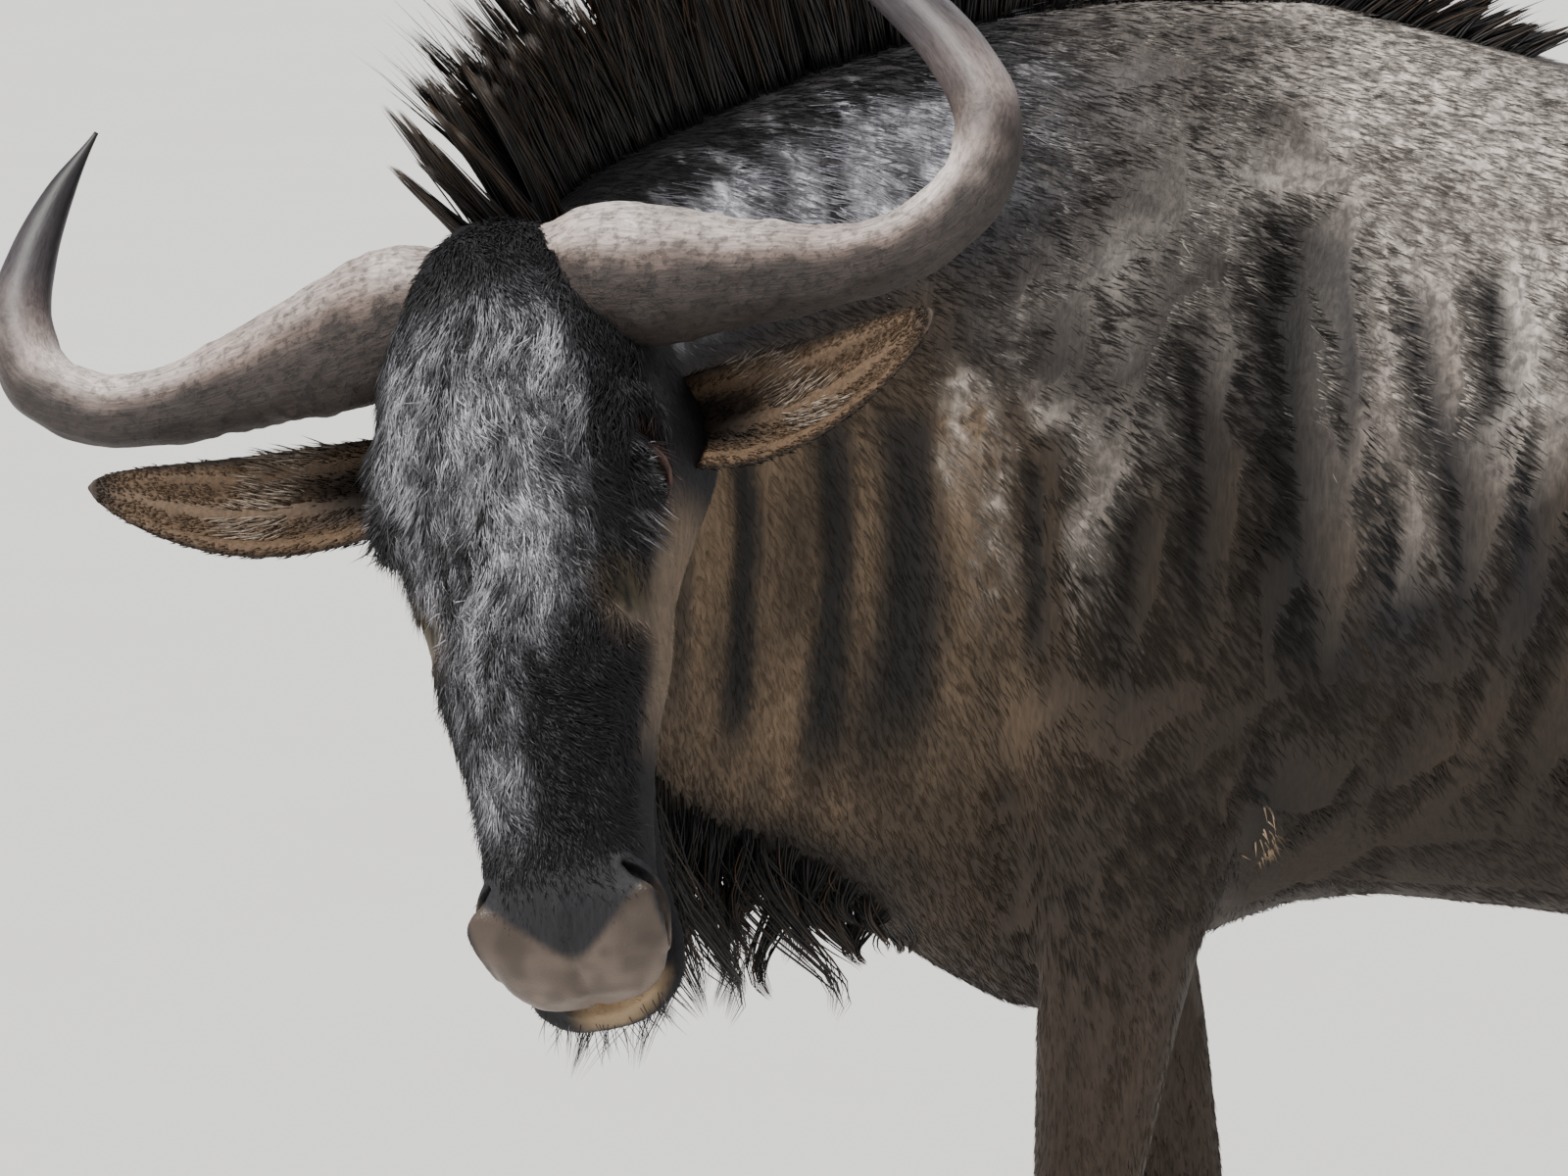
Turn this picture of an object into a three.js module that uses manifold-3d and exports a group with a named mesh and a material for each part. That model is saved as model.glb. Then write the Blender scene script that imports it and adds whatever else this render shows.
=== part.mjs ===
// A blue wildebeest bull, life size: it stands still with the head lowered and turned to its left.
// Millimetres, +Z up. The head is toward -X and the animal's left side toward -Y.
// It is modelled round the point on the ground below its withers, and the last lines set the
// origin to the middle of its box on the ground.
import * as THREE from "three";
import { mergeVertices } from "three/addons/utils/BufferGeometryUtils.js";
import Module from "manifold-3d";

const wasm = await Module();
wasm.setup();

// Driving sizes
const GAP = 0.3; // kept between nodes that touch
const ROOT_DEPTH = 16; // how far a lock is sunk in what it grows from
const SIDES = { left: 1, right: -1 }; // in the head's axes; in the body's frame left is -Y

// The trunk from the tail to the back of the head, one station a row:
// x, y of its middle line, top edge, bottom edge, half width, sharpness of the ridge
const TRUNK = [
  [1028, 0, 1120, 1020, 26, 2],
  [1008, 0, 1165, 930, 100, 2],
  [950, 0, 1200, 815, 160, 2],
  [830, 0, 1228, 742, 205, 2],
  [690, 0, 1240, 706, 216, 2],
  [520, 0, 1258, 682, 236, 2],
  [350, 0, 1292, 670, 246, 1.9],
  [200, 0, 1335, 692, 232, 1.7],
  [80, 0, 1366, 700, 212, 1.6],
  [-20, 0, 1376, 672, 200, 1.5],
  [-120, 0, 1371, 622, 188, 1.5],
  [-200, -6, 1356, 652, 168, 1.6],
  [-280, -22, 1338, 708, 150, 1.6],
  [-360, -54, 1314, 750, 132, 1.7],
  [-435, -100, 1292, 778, 116, 1.8],
  [-496, -158, 1272, 826, 104, 1.9],
  [-536, -222, 1254, 892, 96, 2],
  [-553, -285, 1234, 972, 84, 2],
  [-556, -335, 1205, 1050, 64, 2],
];

// The head's own axes in the body's frame: from the poll down the face, toward its left, and out
// of the forehead
const POLL = new THREE.Vector3(-573, -332, 1237);
const DOWN_FACE = new THREE.Vector3(0.034, -0.434, -0.9).normalize();
const OUT_LEFT = new THREE.Vector3(0.885, -0.406, 0.229).normalize();
const OFF_BROW = new THREE.Vector3().crossVectors(DOWN_FACE, OUT_LEFT).normalize();

// The skull from the poll to the lips: distance down the face, forehead side, throat side,
// half width, squareness of the face
const SKULL = [
  [-12, 26, -64, 34, 2],
  [4, 48, -92, 58, 2],
  [30, 62, -120, 80, 2.2],
  [66, 68, -142, 94, 2.4],
  [112, 70, -154, 105, 2.6],
  [159, 67, -150, 109, 2.6],
  [205, 61, -138, 100, 2.5],
  [261, 54, -118, 88, 2.4],
  [317, 47, -98, 81, 2.4],
  [373, 41, -80, 67, 2.4],
  [420, 37, -66, 61, 2.5],
  [467, 31, -58, 62, 2.6],
  [500, 16, -52, 62, 2.6],
  [518, -2, -47, 54, 2.4],
  [529, -17, -42, 36, 2],
];

// The lower jaw from its angle to the chin: distance down the face, top, bottom, half width
const JAW = [
  [96, -96, -150, 40],
  [130, -70, -166, 62],
  [200, -66, -150, 62],
  [290, -60, -122, 50],
  [380, -54, -102, 46],
  [440, -48, -92, 51],
  [490, -45, -86, 61],
  [518, -45, -79, 58],
  [534, -48, -72, 42],
  [541, -52, -66, 22],
];

// Where flesh swells the skull's outline on both sides: distance down the face, to the side,
// forward, reach, height
const FACE_SWELLINGS = [
  [150, 92, -84, 62, 15], // cheek
  [158, 98, 34, 32, 12], // brow
  [478, 58, 8, 22, 13], // nostril
];

const MOUTH_LINE = -46; // throat side of the face, where the lips meet

// Horns in the head's axes: distance down the face, to the side, forward, radius. Both are alike
// round the bend, and the right one is worn shorter.
const HORN = [
  [30, 22, 0, 34],
  [38, 72, 6, 49],
  [50, 120, 10, 47],
  [60, 178, 11, 37],
  [68, 240, 11, 28],
  [60, 298, 9, 25.5],
  [30, 340, 6, 25],
  [-16, 353, 2, 23.5],
];
const HORN_TIPS = {
  left: [
    [-66, 336, -3, 21.5],
    [-118, 300, -9, 18.5],
    [-168, 252, -16, 12],
    [-206, 206, -22, 2],
  ],
  right: [
    [-62, 341, -2, 18],
    [-106, 318, -6, 11],
    [-146, 288, -10, 2],
  ],
};
const HORN_FLATTENED = 0.86; // depth over height of the section

// Eyes
const EYE_PLACE = [188, 83, 14]; // in the head's axes, left eye
const EYE_LOOK = [0.06, 0.9, 0.42];
const EYE_RADIUS = 22;
const EYE_OPENING = [25, 11]; // half length and half height between the lids

// Ears
const EAR_ROOT = [134, 88, -58];
const EAR_TIP = [118, 304, 28];
const EAR_HALF_WIDTH = 39;
const EAR_CUP = 24; // depth of the cup
const EAR_SAG = 23; // how far its middle hangs below a straight line
const EAR_THICK = 3.2; // half the thickness of its wall

// Legs: height, x, distance from the middle plane, half depth (along the body), half width
const FORELEG = [
  [1090, -20, 120, 60, 40],
  [960, -52, 126, 116, 46],
  [860, -76, 142, 110, 52],
  [780, -88, 140, 84, 50],
  [700, -94, 130, 64, 45],
  [620, -104, 126, 53, 41],
  [530, -115, 124, 43, 37],
  [462, -119, 123, 38, 35],
  [402, -121, 122, 41, 37],
  [350, -120, 121, 33, 30],
  [290, -118, 120, 26, 25],
  [190, -117, 120, 24, 23],
  [126, -120, 120, 33, 30],
  [92, -129, 120, 31, 30],
  [66, -139, 120, 33, 33],
];
const HINDLEG = [
  [1140, 800, 60, 120, 40],
  [1040, 800, 120, 172, 66],
  [930, 788, 144, 176, 66],
  [840, 776, 150, 156, 60],
  [760, 790, 148, 118, 50],
  [680, 832, 142, 80, 41],
  [600, 878, 132, 55, 34],
  [535, 908, 126, 46, 31],
  [482, 908, 123, 43, 30],
  [430, 898, 121, 33, 27],
  [350, 892, 120, 27, 24],
  [220, 886, 119, 25, 23],
  [130, 882, 118, 33, 29],
  [94, 873, 118, 31, 29],
  [66, 862, 118, 32, 32],
];
// Where each leg stands: side, and how far its foot is moved along the body from the table
const LEGS = {
  front_left: { stations: FORELEG, side: -SIDES.left, step: 0 },
  front_right: { stations: FORELEG, side: -SIDES.right, step: 128 },
  rear_left: { stations: HINDLEG, side: -SIDES.left, step: 12 },
  rear_right: { stations: HINDLEG, side: -SIDES.right, step: -88 },
};
const HIP_HEIGHT = 900; // above this a leg isn't moved by its step
const ELBOW = 612; // where a foreleg parts from the chest
const STIFLE = 690; // where a hind leg parts from the rump
const KNEE = 402;
const HOCK = 482;
const CORONET = 66; // top of the hooves

// Each claw of a hoof
const CLAW_LENGTH = 104;
const CLAW_WIDTH = 40;
const TOE_REACH = 0.62; // share of the claw that lies ahead of the pastern
const CLEFT = 5; // between the two claws

// Tail
const TAIL_LINE = [
  [985, 0, 1140],
  [1034, 0, 1120],
  [1066, 0, 1050],
  [1076, 0, 940],
  [1080, 0, 820],
];
const TUFT_LINE = [
  [1080, 0, 830],
  [1085, 0, 700],
  [1092, 0, 520],
  [1094, 0, 330],
];

// The mane, from the head back over the withers: x of its root on the ridge, hair length, lean
// toward the head in degrees
const MANE = [
  [-534, 178, 38],
  [-512, 188, 36],
  [-480, 200, 32],
  [-436, 210, 28],
  [-350, 215, 20],
  [-250, 205, 10],
  [-150, 170, -6],
  [-50, 135, -26],
  [50, 105, -42],
  [150, 80, -55],
  [240, 55, -64],
];
const MANE_LOCKS = 21; // along the crest, in each of two rows
const MANE_LOCK_WIDTH = 62;
// Locks on the crown behind the horns: root in the head's axes, hair length, lean in degrees
const CROWN = [
  [[-6, -12, -24], 108, 40],
  [[-8, 0, -36], 150, 30],
  [[-10, 12, -20], 118, 34],
  [[-8, 24, -40], 165, 24],
];
// The beard: hair length under the jaw from the chin back, and under the throat from the head back
const JAW_BEARD = { from: 478, to: 200, count: 6, length: [44, 92, 118, 120], seed: 23 };
const THROAT_BEARD = { from: -512, to: -236, count: 8, length: [118, 140, 134, 96, 40], seed: 59 };
const BEARD_LOCK_WIDTH = 54;
// The tail's tuft: length of the locks that hang round its core
const TUFT_LOCKS = 13;
const TUFT_LOCK_LENGTH = 270;
const CORE_SHARE = 0.45; // how far the core of a growth of hair reaches toward the tips
const LOCK_THICK = 9;

const { clamp, degToRad, smoothstep } = THREE.MathUtils;
const vector = (row) => new THREE.Vector3(...row);

// Shapes

// Eases the columns of a table of stations between its rows, u from 0 to 1.
function between(stations, u) {
  const place = u * (stations.length - 1);
  const first = Math.min(Math.floor(place), stations.length - 2);
  const f = place - first;
  const row = (k) => stations[Math.min(Math.max(k, 0), stations.length - 1)];
  return row(first).map((_, k) => {
    const [a, b, c, d] = [-1, 0, 1, 2].map((step) => row(first + step)[k]);
    const slope = (c - a) / 2;
    const next = (d - b) / 2;
    const rise = c - b;
    return b + f * (slope + f * (3 * rise - 2 * slope - next + f * (slope + next - 2 * rise)));
  });
}

// Where a table of stations reaches a value in its first column.
function shareAt(stations, value) {
  const rising = stations[0][0] < stations[stations.length - 1][0];
  const past = stations.findIndex((row) => (rising ? row[0] >= value : row[0] <= value));
  const [from, to] = [stations[past - 1][0], stations[past][0]];
  return (past - 1 + (value - from) / (to - from)) / (stations.length - 1);
}

// A closed solid from a three.js geometry.
function solid(geometry) {
  geometry.deleteAttribute("normal");
  geometry.deleteAttribute("uv");
  const merged = mergeVertices(geometry, 1e-4);
  return new wasm.Manifold(
    new wasm.Mesh({
      numProp: 3,
      vertProperties: new Float32Array(merged.attributes.position.array),
      triVerts: new Uint32Array(merged.index.array),
    }),
  );
}

// A cylinder bent into a form: place(angle, u, reach) puts each of its points, with reach 0 in
// the middle of the end faces and 1 on the wall.
function form(sides, steps, place) {
  const geometry = new THREE.CylinderGeometry(1, 1, 1, sides, steps);
  const points = geometry.attributes.position;
  for (let i = 0; i < points.count; i++) {
    const [x, y, z] = [points.getX(i), points.getY(i), points.getZ(i)];
    const turn = Math.round((Math.atan2(x, z) / (2 * Math.PI)) * sides + sides) % sides;
    const u = Math.round((y + 0.5) * steps) / steps;
    const spot = place((turn / sides) * 2 * Math.PI, u, Math.round(Math.hypot(x, z)));
    points.setXYZ(i, spot.x, spot.y, spot.z);
  }
  const made = solid(geometry);
  if (made.volume() > 0) return made;
  const index = geometry.index.array;
  for (let i = 0; i < index.length; i += 3) {
    [index[i + 1], index[i + 2]] = [index[i + 2], index[i + 1]];
  }
  return solid(geometry);
}

// The two factors of a rounded outline: 2 is an ellipse, more is squarer, less is more pointed.
function rounded(angle, squareness) {
  const ease = (value) => Math.sign(value) * Math.abs(value) ** (2 / squareness);
  return [ease(Math.sin(angle)), ease(Math.cos(angle))];
}

// A bent rod: size(u) gives its half width along "across" and its half depth.
function sweep({ sides, steps, path, across, size }) {
  const curve = new THREE.CatmullRomCurve3(path);
  return form(sides, steps, (angle, u, reach) => {
    const along = curve.getTangent(u);
    const side = across.clone().addScaledVector(along, -across.dot(along)).normalize();
    const deep = new THREE.Vector3().crossVectors(along, side);
    const [wide, thick] = size(u);
    return curve
      .getPoint(u)
      .addScaledVector(side, wide * reach * Math.sin(angle))
      .addScaledVector(deep, thick * reach * Math.cos(angle));
  });
}

// An ellipsoid of the given half axes at a place.
function swelling(centre, radii, detail = 16) {
  const ball = new THREE.SphereGeometry(1, detail, Math.round(detail / 2));
  return solid(ball.scale(...radii).translate(...centre));
}

function block(low, high) {
  const size = high.map((value, k) => value - low[k]);
  const middle = high.map((value, k) => (value + low[k]) / 2);
  return solid(new THREE.BoxGeometry(...size).translate(...middle));
}

// The largest closed surface of a solid, without sealed hollows or loose scraps.
function largest(made) {
  const pieces = made.decompose();
  return pieces.reduce((best, piece) => (piece.volume() > best.volume() ? piece : best));
}

const joined = (list) => list.reduce((all, next) => all.add(next));

// The head's pieces are shaped in its own axes and turned into the body's frame.
const HEAD_POSE = new THREE.Matrix4()
  .makeBasis(DOWN_FACE, OUT_LEFT, OFF_BROW)
  .setPosition(POLL);
const onHead = (made) => made.transform(HEAD_POSE.elements);
const headSpot = (row) => vector(row).applyMatrix4(HEAD_POSE);
const headWay = (row) => vector(row).transformDirection(HEAD_POSE);

// Trunk and neck

const SPINE = new THREE.CatmullRomCurve3(TRUNK.map(([x, y]) => new THREE.Vector3(x, y, 0)));

// A point of the trunk's skin: angle 0 is the ridge of the back, and a quarter turn on is the
// left side.
function trunkSpot(u, angle, reach = 1) {
  const [x, y, top, bottom, half, ridge] = between(TRUNK, u);
  const way = SPINE.getTangent(u);
  const middle = bottom + 0.5 * (top - bottom);
  const upper = Math.cos(angle) > 0;
  const [side, up] = rounded(angle, upper ? ridge : 2.1);
  const height = upper ? top - middle : middle - bottom;
  const out = half * side * reach;
  return new THREE.Vector3(x + way.y * out * -1, y + way.x * out, middle + height * up * reach);
}

const trunk = form(22, 34, (angle, u, reach) => trunkSpot(u, angle, reach));

// Legs

function legSpot({ stations, side, step }, angle, u, reach) {
  const [z, x, out, deep, wide] = between(stations, u);
  const moved = step * smoothstep(HIP_HEIGHT - z, 0, HIP_HEIGHT - KNEE);
  const [across, along] = rounded(angle, 2.2);
  return new THREE.Vector3(
    x + moved + deep * along * reach,
    side * (out + wide * across * reach),
    z,
  );
}

const limbs = Object.values(LEGS).map((leg) =>
  form(10, 22, (angle, u, reach) => legSpot(leg, angle, u, reach)),
);

// Head

function skullSpot(stations, angle, u, reach, lower) {
  const [down, top, bottom, half, square = 2.2] = between(stations, u);
  const [side, up] = rounded(angle, Math.cos(angle) > 0 ? square : lower);
  const spot = new THREE.Vector3(0, half * side, ((top - bottom) / 2) * up);
  const middle = new THREE.Vector3(down, 0, (top + bottom) / 2);
  let swell = 0;
  for (const [at, out, off, wide, height] of FACE_SWELLINGS) {
    const away = vector([at, Math.sign(spot.y) * out, off]).sub(spot).sub(middle);
    swell += height * Math.exp(-away.lengthSq() / (wide * wide));
  }
  return spot.setLength(spot.length() + swell).multiplyScalar(reach).add(middle);
}

function headForm() {
  const skull = form(20, 27, (angle, u, reach) => skullSpot(SKULL, angle, u, reach, 1.9));
  const jaw = form(12, 12, (angle, u, reach) => skullSpot(JAW, angle, u, reach, 2));
  return skull.add(jaw);
}

// The eye's own axes: out of the eye, up to the brow, and from corner to corner.
function eyeAxes(side) {
  const out = vector([EYE_LOOK[0], side * EYE_LOOK[1], EYE_LOOK[2]]).normalize();
  const length = vector([1, 0, 0]).addScaledVector(out, -out.x).normalize();
  const up = new THREE.Vector3().crossVectors(length, out).multiplyScalar(-side);
  const centre = vector([EYE_PLACE[0], side * EYE_PLACE[1], EYE_PLACE[2]]);
  return { out, length, up, centre };
}

const eyeball = (side, radius) =>
  swelling(eyeAxes(side).centre.toArray(), [radius, radius, radius], 12);

// Two lids round each eye: rims that lie on the globe and meet at its corners.
function lids(side) {
  const { out, length, up, centre } = eyeAxes(side);
  const [long, tall] = EYE_OPENING;
  const rims = [1, -1].map((upper) => {
    const path = [-1, -0.6, -0.2, 0.2, 0.6, 1].map((share) => {
      const bend = Math.cos((share * Math.PI) / 2);
      return centre
        .clone()
        .addScaledVector(length, (long + 2) * share)
        .addScaledVector(up, upper * (tall + 3) * bend)
        .addScaledVector(out, 7 + 10 * bend);
    });
    const thick = upper > 0 ? 7 : 5.5;
    return sweep({ sides: 6, steps: 8, path, across: up, size: () => [thick, thick] });
  });
  return joined(rims);
}

// The slit between the lids.
function eyeSlit(side) {
  const { out, length, up, centre } = eyeAxes(side);
  const [long, tall] = EYE_OPENING;
  return form(10, 1, (angle, u, reach) => {
    const [across, along] = rounded(angle, 1.7);
    return centre
      .clone()
      .addScaledVector(length, long * along * reach)
      .addScaledVector(up, tall * across * reach)
      .addScaledVector(out, 60 * u);
  });
}

// What is cut out of the head: eye sockets, nostrils and the line of the mouth.
function headCuts() {
  const sides = Object.values(SIDES);
  const eyes = sides.flatMap((side) => [eyeball(side, EYE_RADIUS + GAP), eyeSlit(side)]);
  const nostrils = sides.map((side) =>
    sweep({
      sides: 6,
      steps: 5,
      path: [
        [448, side * 45, 16],
        [462, side * 58, 12],
        [480, side * 66, 0],
        [498, side * 62, -16],
      ].map(vector),
      across: vector([0, 0.5, 1]),
      size: (u) => [3 + 6 * Math.sin(Math.PI * u), 3 + 8 * Math.sin(Math.PI * u)],
    }),
  );
  const lips = [
    [400, 60],
    [455, 63],
    [500, 66],
    [526, 48],
    [536, 0],
  ];
  const back = lips.slice(0, -1).reverse();
  const mouth = sweep({
    sides: 4,
    steps: 14,
    path: [...lips, ...back.map(([down, out]) => [down, -out])].map(([down, out]) =>
      vector([down, out, MOUTH_LINE]),
    ),
    across: vector([0, 0, 1]),
    size: () => [2, 11],
  });
  return joined([...eyes, ...nostrils, mouth]);
}

// A horn, or with spare room round it the socket that it sits in.
function horn(name, room = 0) {
  const side = SIDES[name];
  const rows = [...HORN, ...HORN_TIPS[name]].map((row) => [...row]);
  rows[0][1] -= room;
  return sweep({
    sides: 10,
    steps: 18,
    path: rows.map(([down, out, off]) => vector([down, side * out, off])),
    across: vector([0, 0, 1]),
    size: (u) => {
      const radius = between(rows, u)[3] + room;
      return [radius * HORN_FLATTENED, radius];
    },
  });
}

// An ear, or the socket that it sits in: a leaf-shaped cup whose two faces are alike.
function ear(name, room = 0) {
  const side = SIDES[name];
  const [root, tip] = [EAR_ROOT, EAR_TIP].map(([down, out, off]) => vector([down, side * out, off]));
  const along = tip.clone().sub(root);
  const way = along.clone().normalize();
  const across = vector([1, 0, 0.1]);
  across.addScaledVector(way, -across.dot(way)).normalize();
  const facing = new THREE.Vector3().crossVectors(way, across).multiplyScalar(-side);
  return form(12, 9, (angle, u, reach) => {
    const leaf = Math.sin(Math.PI * (0.2 + 0.8 * u)) ** 0.55;
    const wide = (EAR_HALF_WIDTH * Math.max(leaf, 0.03) + room) * reach * Math.sin(angle);
    const share = wide / EAR_HALF_WIDTH;
    const cup = EAR_CUP * (0.35 - share * share) * (1 - 0.4 * u);
    const wall = (EAR_THICK * (1 - 0.6 * u) + room) * reach * Math.cos(angle);
    return root
      .clone()
      .addScaledVector(along, u)
      .addScaledVector(across, EAR_SAG * Math.sin(Math.PI * u))
      .addScaledVector(way, room * (2 * u - 1))
      .addScaledVector(across, wide)
      .addScaledVector(facing, wall - cup);
  });
}

// Feet

function claws(name, leg) {
  const [, x, out] = leg.stations[leg.stations.length - 1];
  const foot = x + leg.step;
  return [1, -1].map((outer) => {
    const middle = leg.side * (out + (outer * (CLAW_WIDTH + CLEFT)) / 2);
    const made = form(10, 3, (angle, u, reach) => {
      const height = CORONET * u;
      const shrink = 1 - 0.3 * u;
      const [across, along] = rounded(angle, 2.4);
      const toe = along < 0 ? 1 - 0.45 * Math.abs(along) ** 2 : 1;
      const lean = 20 * u;
      return new THREE.Vector3(
        foot - CLAW_LENGTH * (TOE_REACH - 0.5) + lean + (CLAW_LENGTH / 2) * shrink * along * reach,
        middle + (CLAW_WIDTH / 2) * (1 - 0.12 * u) * across * toe * reach,
        height,
      );
    });
    return [`hoof_${name}_${outer > 0 ? "outer" : "inner"}`, made];
  });
}

function dewclaws(leg) {
  const [, x, out] = leg.stations[leg.stations.length - 3];
  return [1, -1].map((outer) =>
    swelling([x + leg.step + 25, leg.side * (out + outer * 15), 102], [14, 10, 16], 6),
  );
}

// Tail

const tailDock = (room = 0) =>
  sweep({
    sides: 10,
    steps: 9,
    path: TAIL_LINE.map(vector),
    across: vector([0, 1, 0]),
    size: (u) => [34 - 17 * u + room, 28 - 12 * u + room],
  });

// Long hair

// A seeded draw between -1 and 1.
function drawing(seed) {
  let state = seed;
  return () => {
    state = (state * 16807) % 2147483647;
    return (state / 2147483647) * 2 - 1;
  };
}

// A flat lock that tapers and bends: it starts under its root and leans by "fall" toward its tip.
function lock({ root, lie, fall, across, length, width }) {
  const flat = across.clone().addScaledVector(lie, -across.dot(lie)).normalize();
  const thick = new THREE.Vector3().crossVectors(lie, flat);
  return form(4, 3, (angle, u, reach) => {
    const taper = Math.sqrt(1 - u ** 1.6) * (0.7 + 0.3 * Math.min(1, 3 * u));
    const half = 0.6 + (width / 2) * taper;
    return root
      .clone()
      .addScaledVector(lie, (length + ROOT_DEPTH) * u - ROOT_DEPTH)
      .addScaledVector(fall, length * u * u)
      .addScaledVector(flat, half * reach * Math.sin(angle))
      .addScaledVector(thick, (0.6 + (LOCK_THICK / 2) * taper) * reach * Math.cos(angle));
  });
}

const FORWARD = new THREE.Vector3(-1, 0, 0);

// The mane at a share of its length: root on the ridge, the ridge's way, and the hair's own way.
function maneAt(share) {
  const [x, length, tilt] = between(MANE, share);
  const u = shareAt(TRUNK, x);
  const way = SPINE.getTangent(u);
  const out = new THREE.Vector3(-way.y, way.x, 0).normalize();
  const lean = Math.sin(degToRad(tilt));
  const toward = way.clone().addScaledVector(FORWARD, 0.9).normalize();
  const lie = toward.multiplyScalar(lean).setZ(Math.sqrt(1 - lean * lean));
  return { root: trunkSpot(u, 0), way, out, lie, lean, length };
}

// The dense foot of the mane, a low fin that reaches part of the way to the tips.
function maneCore() {
  return form(6, 18, (angle, u, reach) => {
    const { root, out, lie, length } = maneAt(0.02 + 0.96 * u);
    const [side, up] = rounded(angle, 2);
    const rise = up > 0 ? length * CORE_SHARE : 26;
    const slim = up > 0 ? 1 - 0.75 * up : 1;
    const end = Math.sqrt(Math.sin(Math.PI * (0.04 + 0.92 * u)));
    return root
      .addScaledVector(out, 19 * side * slim * reach * end)
      .addScaledVector(lie, rise * up * reach * end - 4);
  });
}

function maneLocks() {
  const draw = drawing(71);
  const locks = [];
  for (let i = 0; i < MANE_LOCKS; i++) {
    for (const row of [-1, 1]) {
      const share = (i + 0.5 + 0.22 * row + 0.15 * draw()) / MANE_LOCKS;
      const { root, way, out, lie, lean, length } = maneAt(clamp(share, 0.005, 0.995));
      const hair = lie
        .clone()
        .addScaledVector(out, row * 0.12 + 0.05 * draw())
        .addScaledVector(way, 0.1 * draw())
        .normalize();
      locks.push({
        root: root.addScaledVector(out, row * 7).addScaledVector(lie, -6),
        lie: hair,
        fall: out
          .clone()
          .multiplyScalar(row * 0.12)
          .addScaledVector(way, 0.25 * lean + 0.08 * draw()),
        across: way,
        length: length * (0.97 + 0.09 * draw()),
        width: MANE_LOCK_WIDTH * (0.85 + 0.25 * draw()) * Math.min(1, 0.4 + length / 250),
      });
    }
  }
  return locks;
}

function crownLocks() {
  return CROWN.map(([root, length, tilt]) => {
    const lean = Math.sin(degToRad(tilt));
    return {
      root: headSpot(root),
      lie: FORWARD.clone().multiplyScalar(lean).setZ(Math.sqrt(1 - lean * lean)),
      fall: FORWARD.clone().multiplyScalar(0.12),
      across: new THREE.Vector3(0.75, -0.66, 0),
      length,
      width: MANE_LOCK_WIDTH * 0.8,
    };
  });
}

const DOWN = new THREE.Vector3(0, 0, -1);

// Locks that hang in two rows below a line of roots, and swing a little along "swing".
function hangingLocks({ count, length, seed }, rootAt, swing) {
  const draw = drawing(seed);
  const lengths = length.map((value) => [value]);
  const locks = [];
  for (let i = 0; i < count; i++) {
    for (const row of [-1, 1]) {
      const share = clamp((i + 0.5 + 0.25 * row + 0.12 * draw()) / count, 0, 1);
      const { spot, along, out } = rootAt(share);
      const [long] = between(lengths, share);
      const curl = swing.clone().multiplyScalar(0.35 * (1 + draw()));
      locks.push({
        root: spot.addScaledVector(out, row * 9),
        lie: DOWN.clone().addScaledVector(out, row * 0.1).addScaledVector(swing, 0.35).normalize(),
        fall: curl.addScaledVector(along, 0.1 * draw()),
        across: along,
        length: long * (0.97 + 0.09 * draw()),
        width: BEARD_LOCK_WIDTH * (0.85 + 0.25 * draw()),
      });
    }
  }
  return locks;
}

function jawSpot(share) {
  const down = JAW_BEARD.from + (JAW_BEARD.to - JAW_BEARD.from) * share;
  const [, , bottom] = between(JAW, shareAt(JAW, down));
  return {
    spot: headSpot([down, 0, bottom + 5]),
    along: headWay([-1, 0, 0]),
    out: headWay([0, 1, 0]),
  };
}

function throatSpot(share) {
  const x = THROAT_BEARD.from + (THROAT_BEARD.to - THROAT_BEARD.from) * share;
  const u = shareAt(TRUNK, x);
  const way = SPINE.getTangent(u);
  return {
    spot: trunkSpot(u, Math.PI, 0.97),
    along: way.clone().negate(),
    out: new THREE.Vector3(-way.y, way.x, 0),
  };
}

// The dense foot of a beard: a thin wedge below a line of roots.
function beardCore({ length }, rootAt) {
  const lengths = length.map((value) => [value]);
  return form(6, 10, (angle, u, reach) => {
    const { spot, out } = rootAt(0.02 + 0.96 * u);
    const [long] = between(lengths, u);
    const [side, up] = rounded(angle, 2);
    const drop = up < 0 ? long * CORE_SHARE : 16;
    const end = Math.sqrt(Math.sin(Math.PI * (0.06 + 0.88 * u)));
    return spot
      .addScaledVector(out, 13 * side * (up < 0 ? 1 + 0.6 * up : 1) * reach * end)
      .addScaledVector(DOWN, -drop * up * reach * end);
  });
}

function tailTuft() {
  const draw = drawing(37);
  const line = new THREE.CatmullRomCurve3(TUFT_LINE.map(vector));
  const core = sweep({
    sides: 8,
    steps: 8,
    path: [0, 0.2, 0.4, 0.6].map((share) => line.getPoint(share)),
    across: vector([0, 1, 0]),
    size: (u) => {
      const swell = Math.sin(Math.PI * (0.16 + 0.82 * u)) ** 0.8;
      return [4 + 24 * swell, 4 + 20 * swell];
    },
  });
  const locks = [];
  for (let i = 0; i < TUFT_LOCKS; i++) {
    const turn = i * 2.4 + 0.3 * draw();
    const out = vector([Math.cos(turn), Math.sin(turn), 0]);
    const share = 0.06 + (0.5 * i) / TUFT_LOCKS;
    locks.push(
      lock({
        root: line.getPoint(share).addScaledVector(out, 9),
        lie: DOWN.clone().addScaledVector(out, 0.16).normalize(),
        fall: out.clone().multiplyScalar(-0.07 + 0.03 * draw()),
        across: vector([-out.y, out.x, 0]),
        length: TUFT_LOCK_LENGTH * (0.94 + 0.1 * draw()),
        width: 46 + 8 * draw(),
      }),
    );
  }
  return joined([core, ...locks]);
}

// Parting

// The plane between head and neck: it passes behind the jaw and behind the poll.
const NAPE_CUT = { at: [-14, 0, -110], way: [-0.4, 0, -0.916] };

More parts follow.
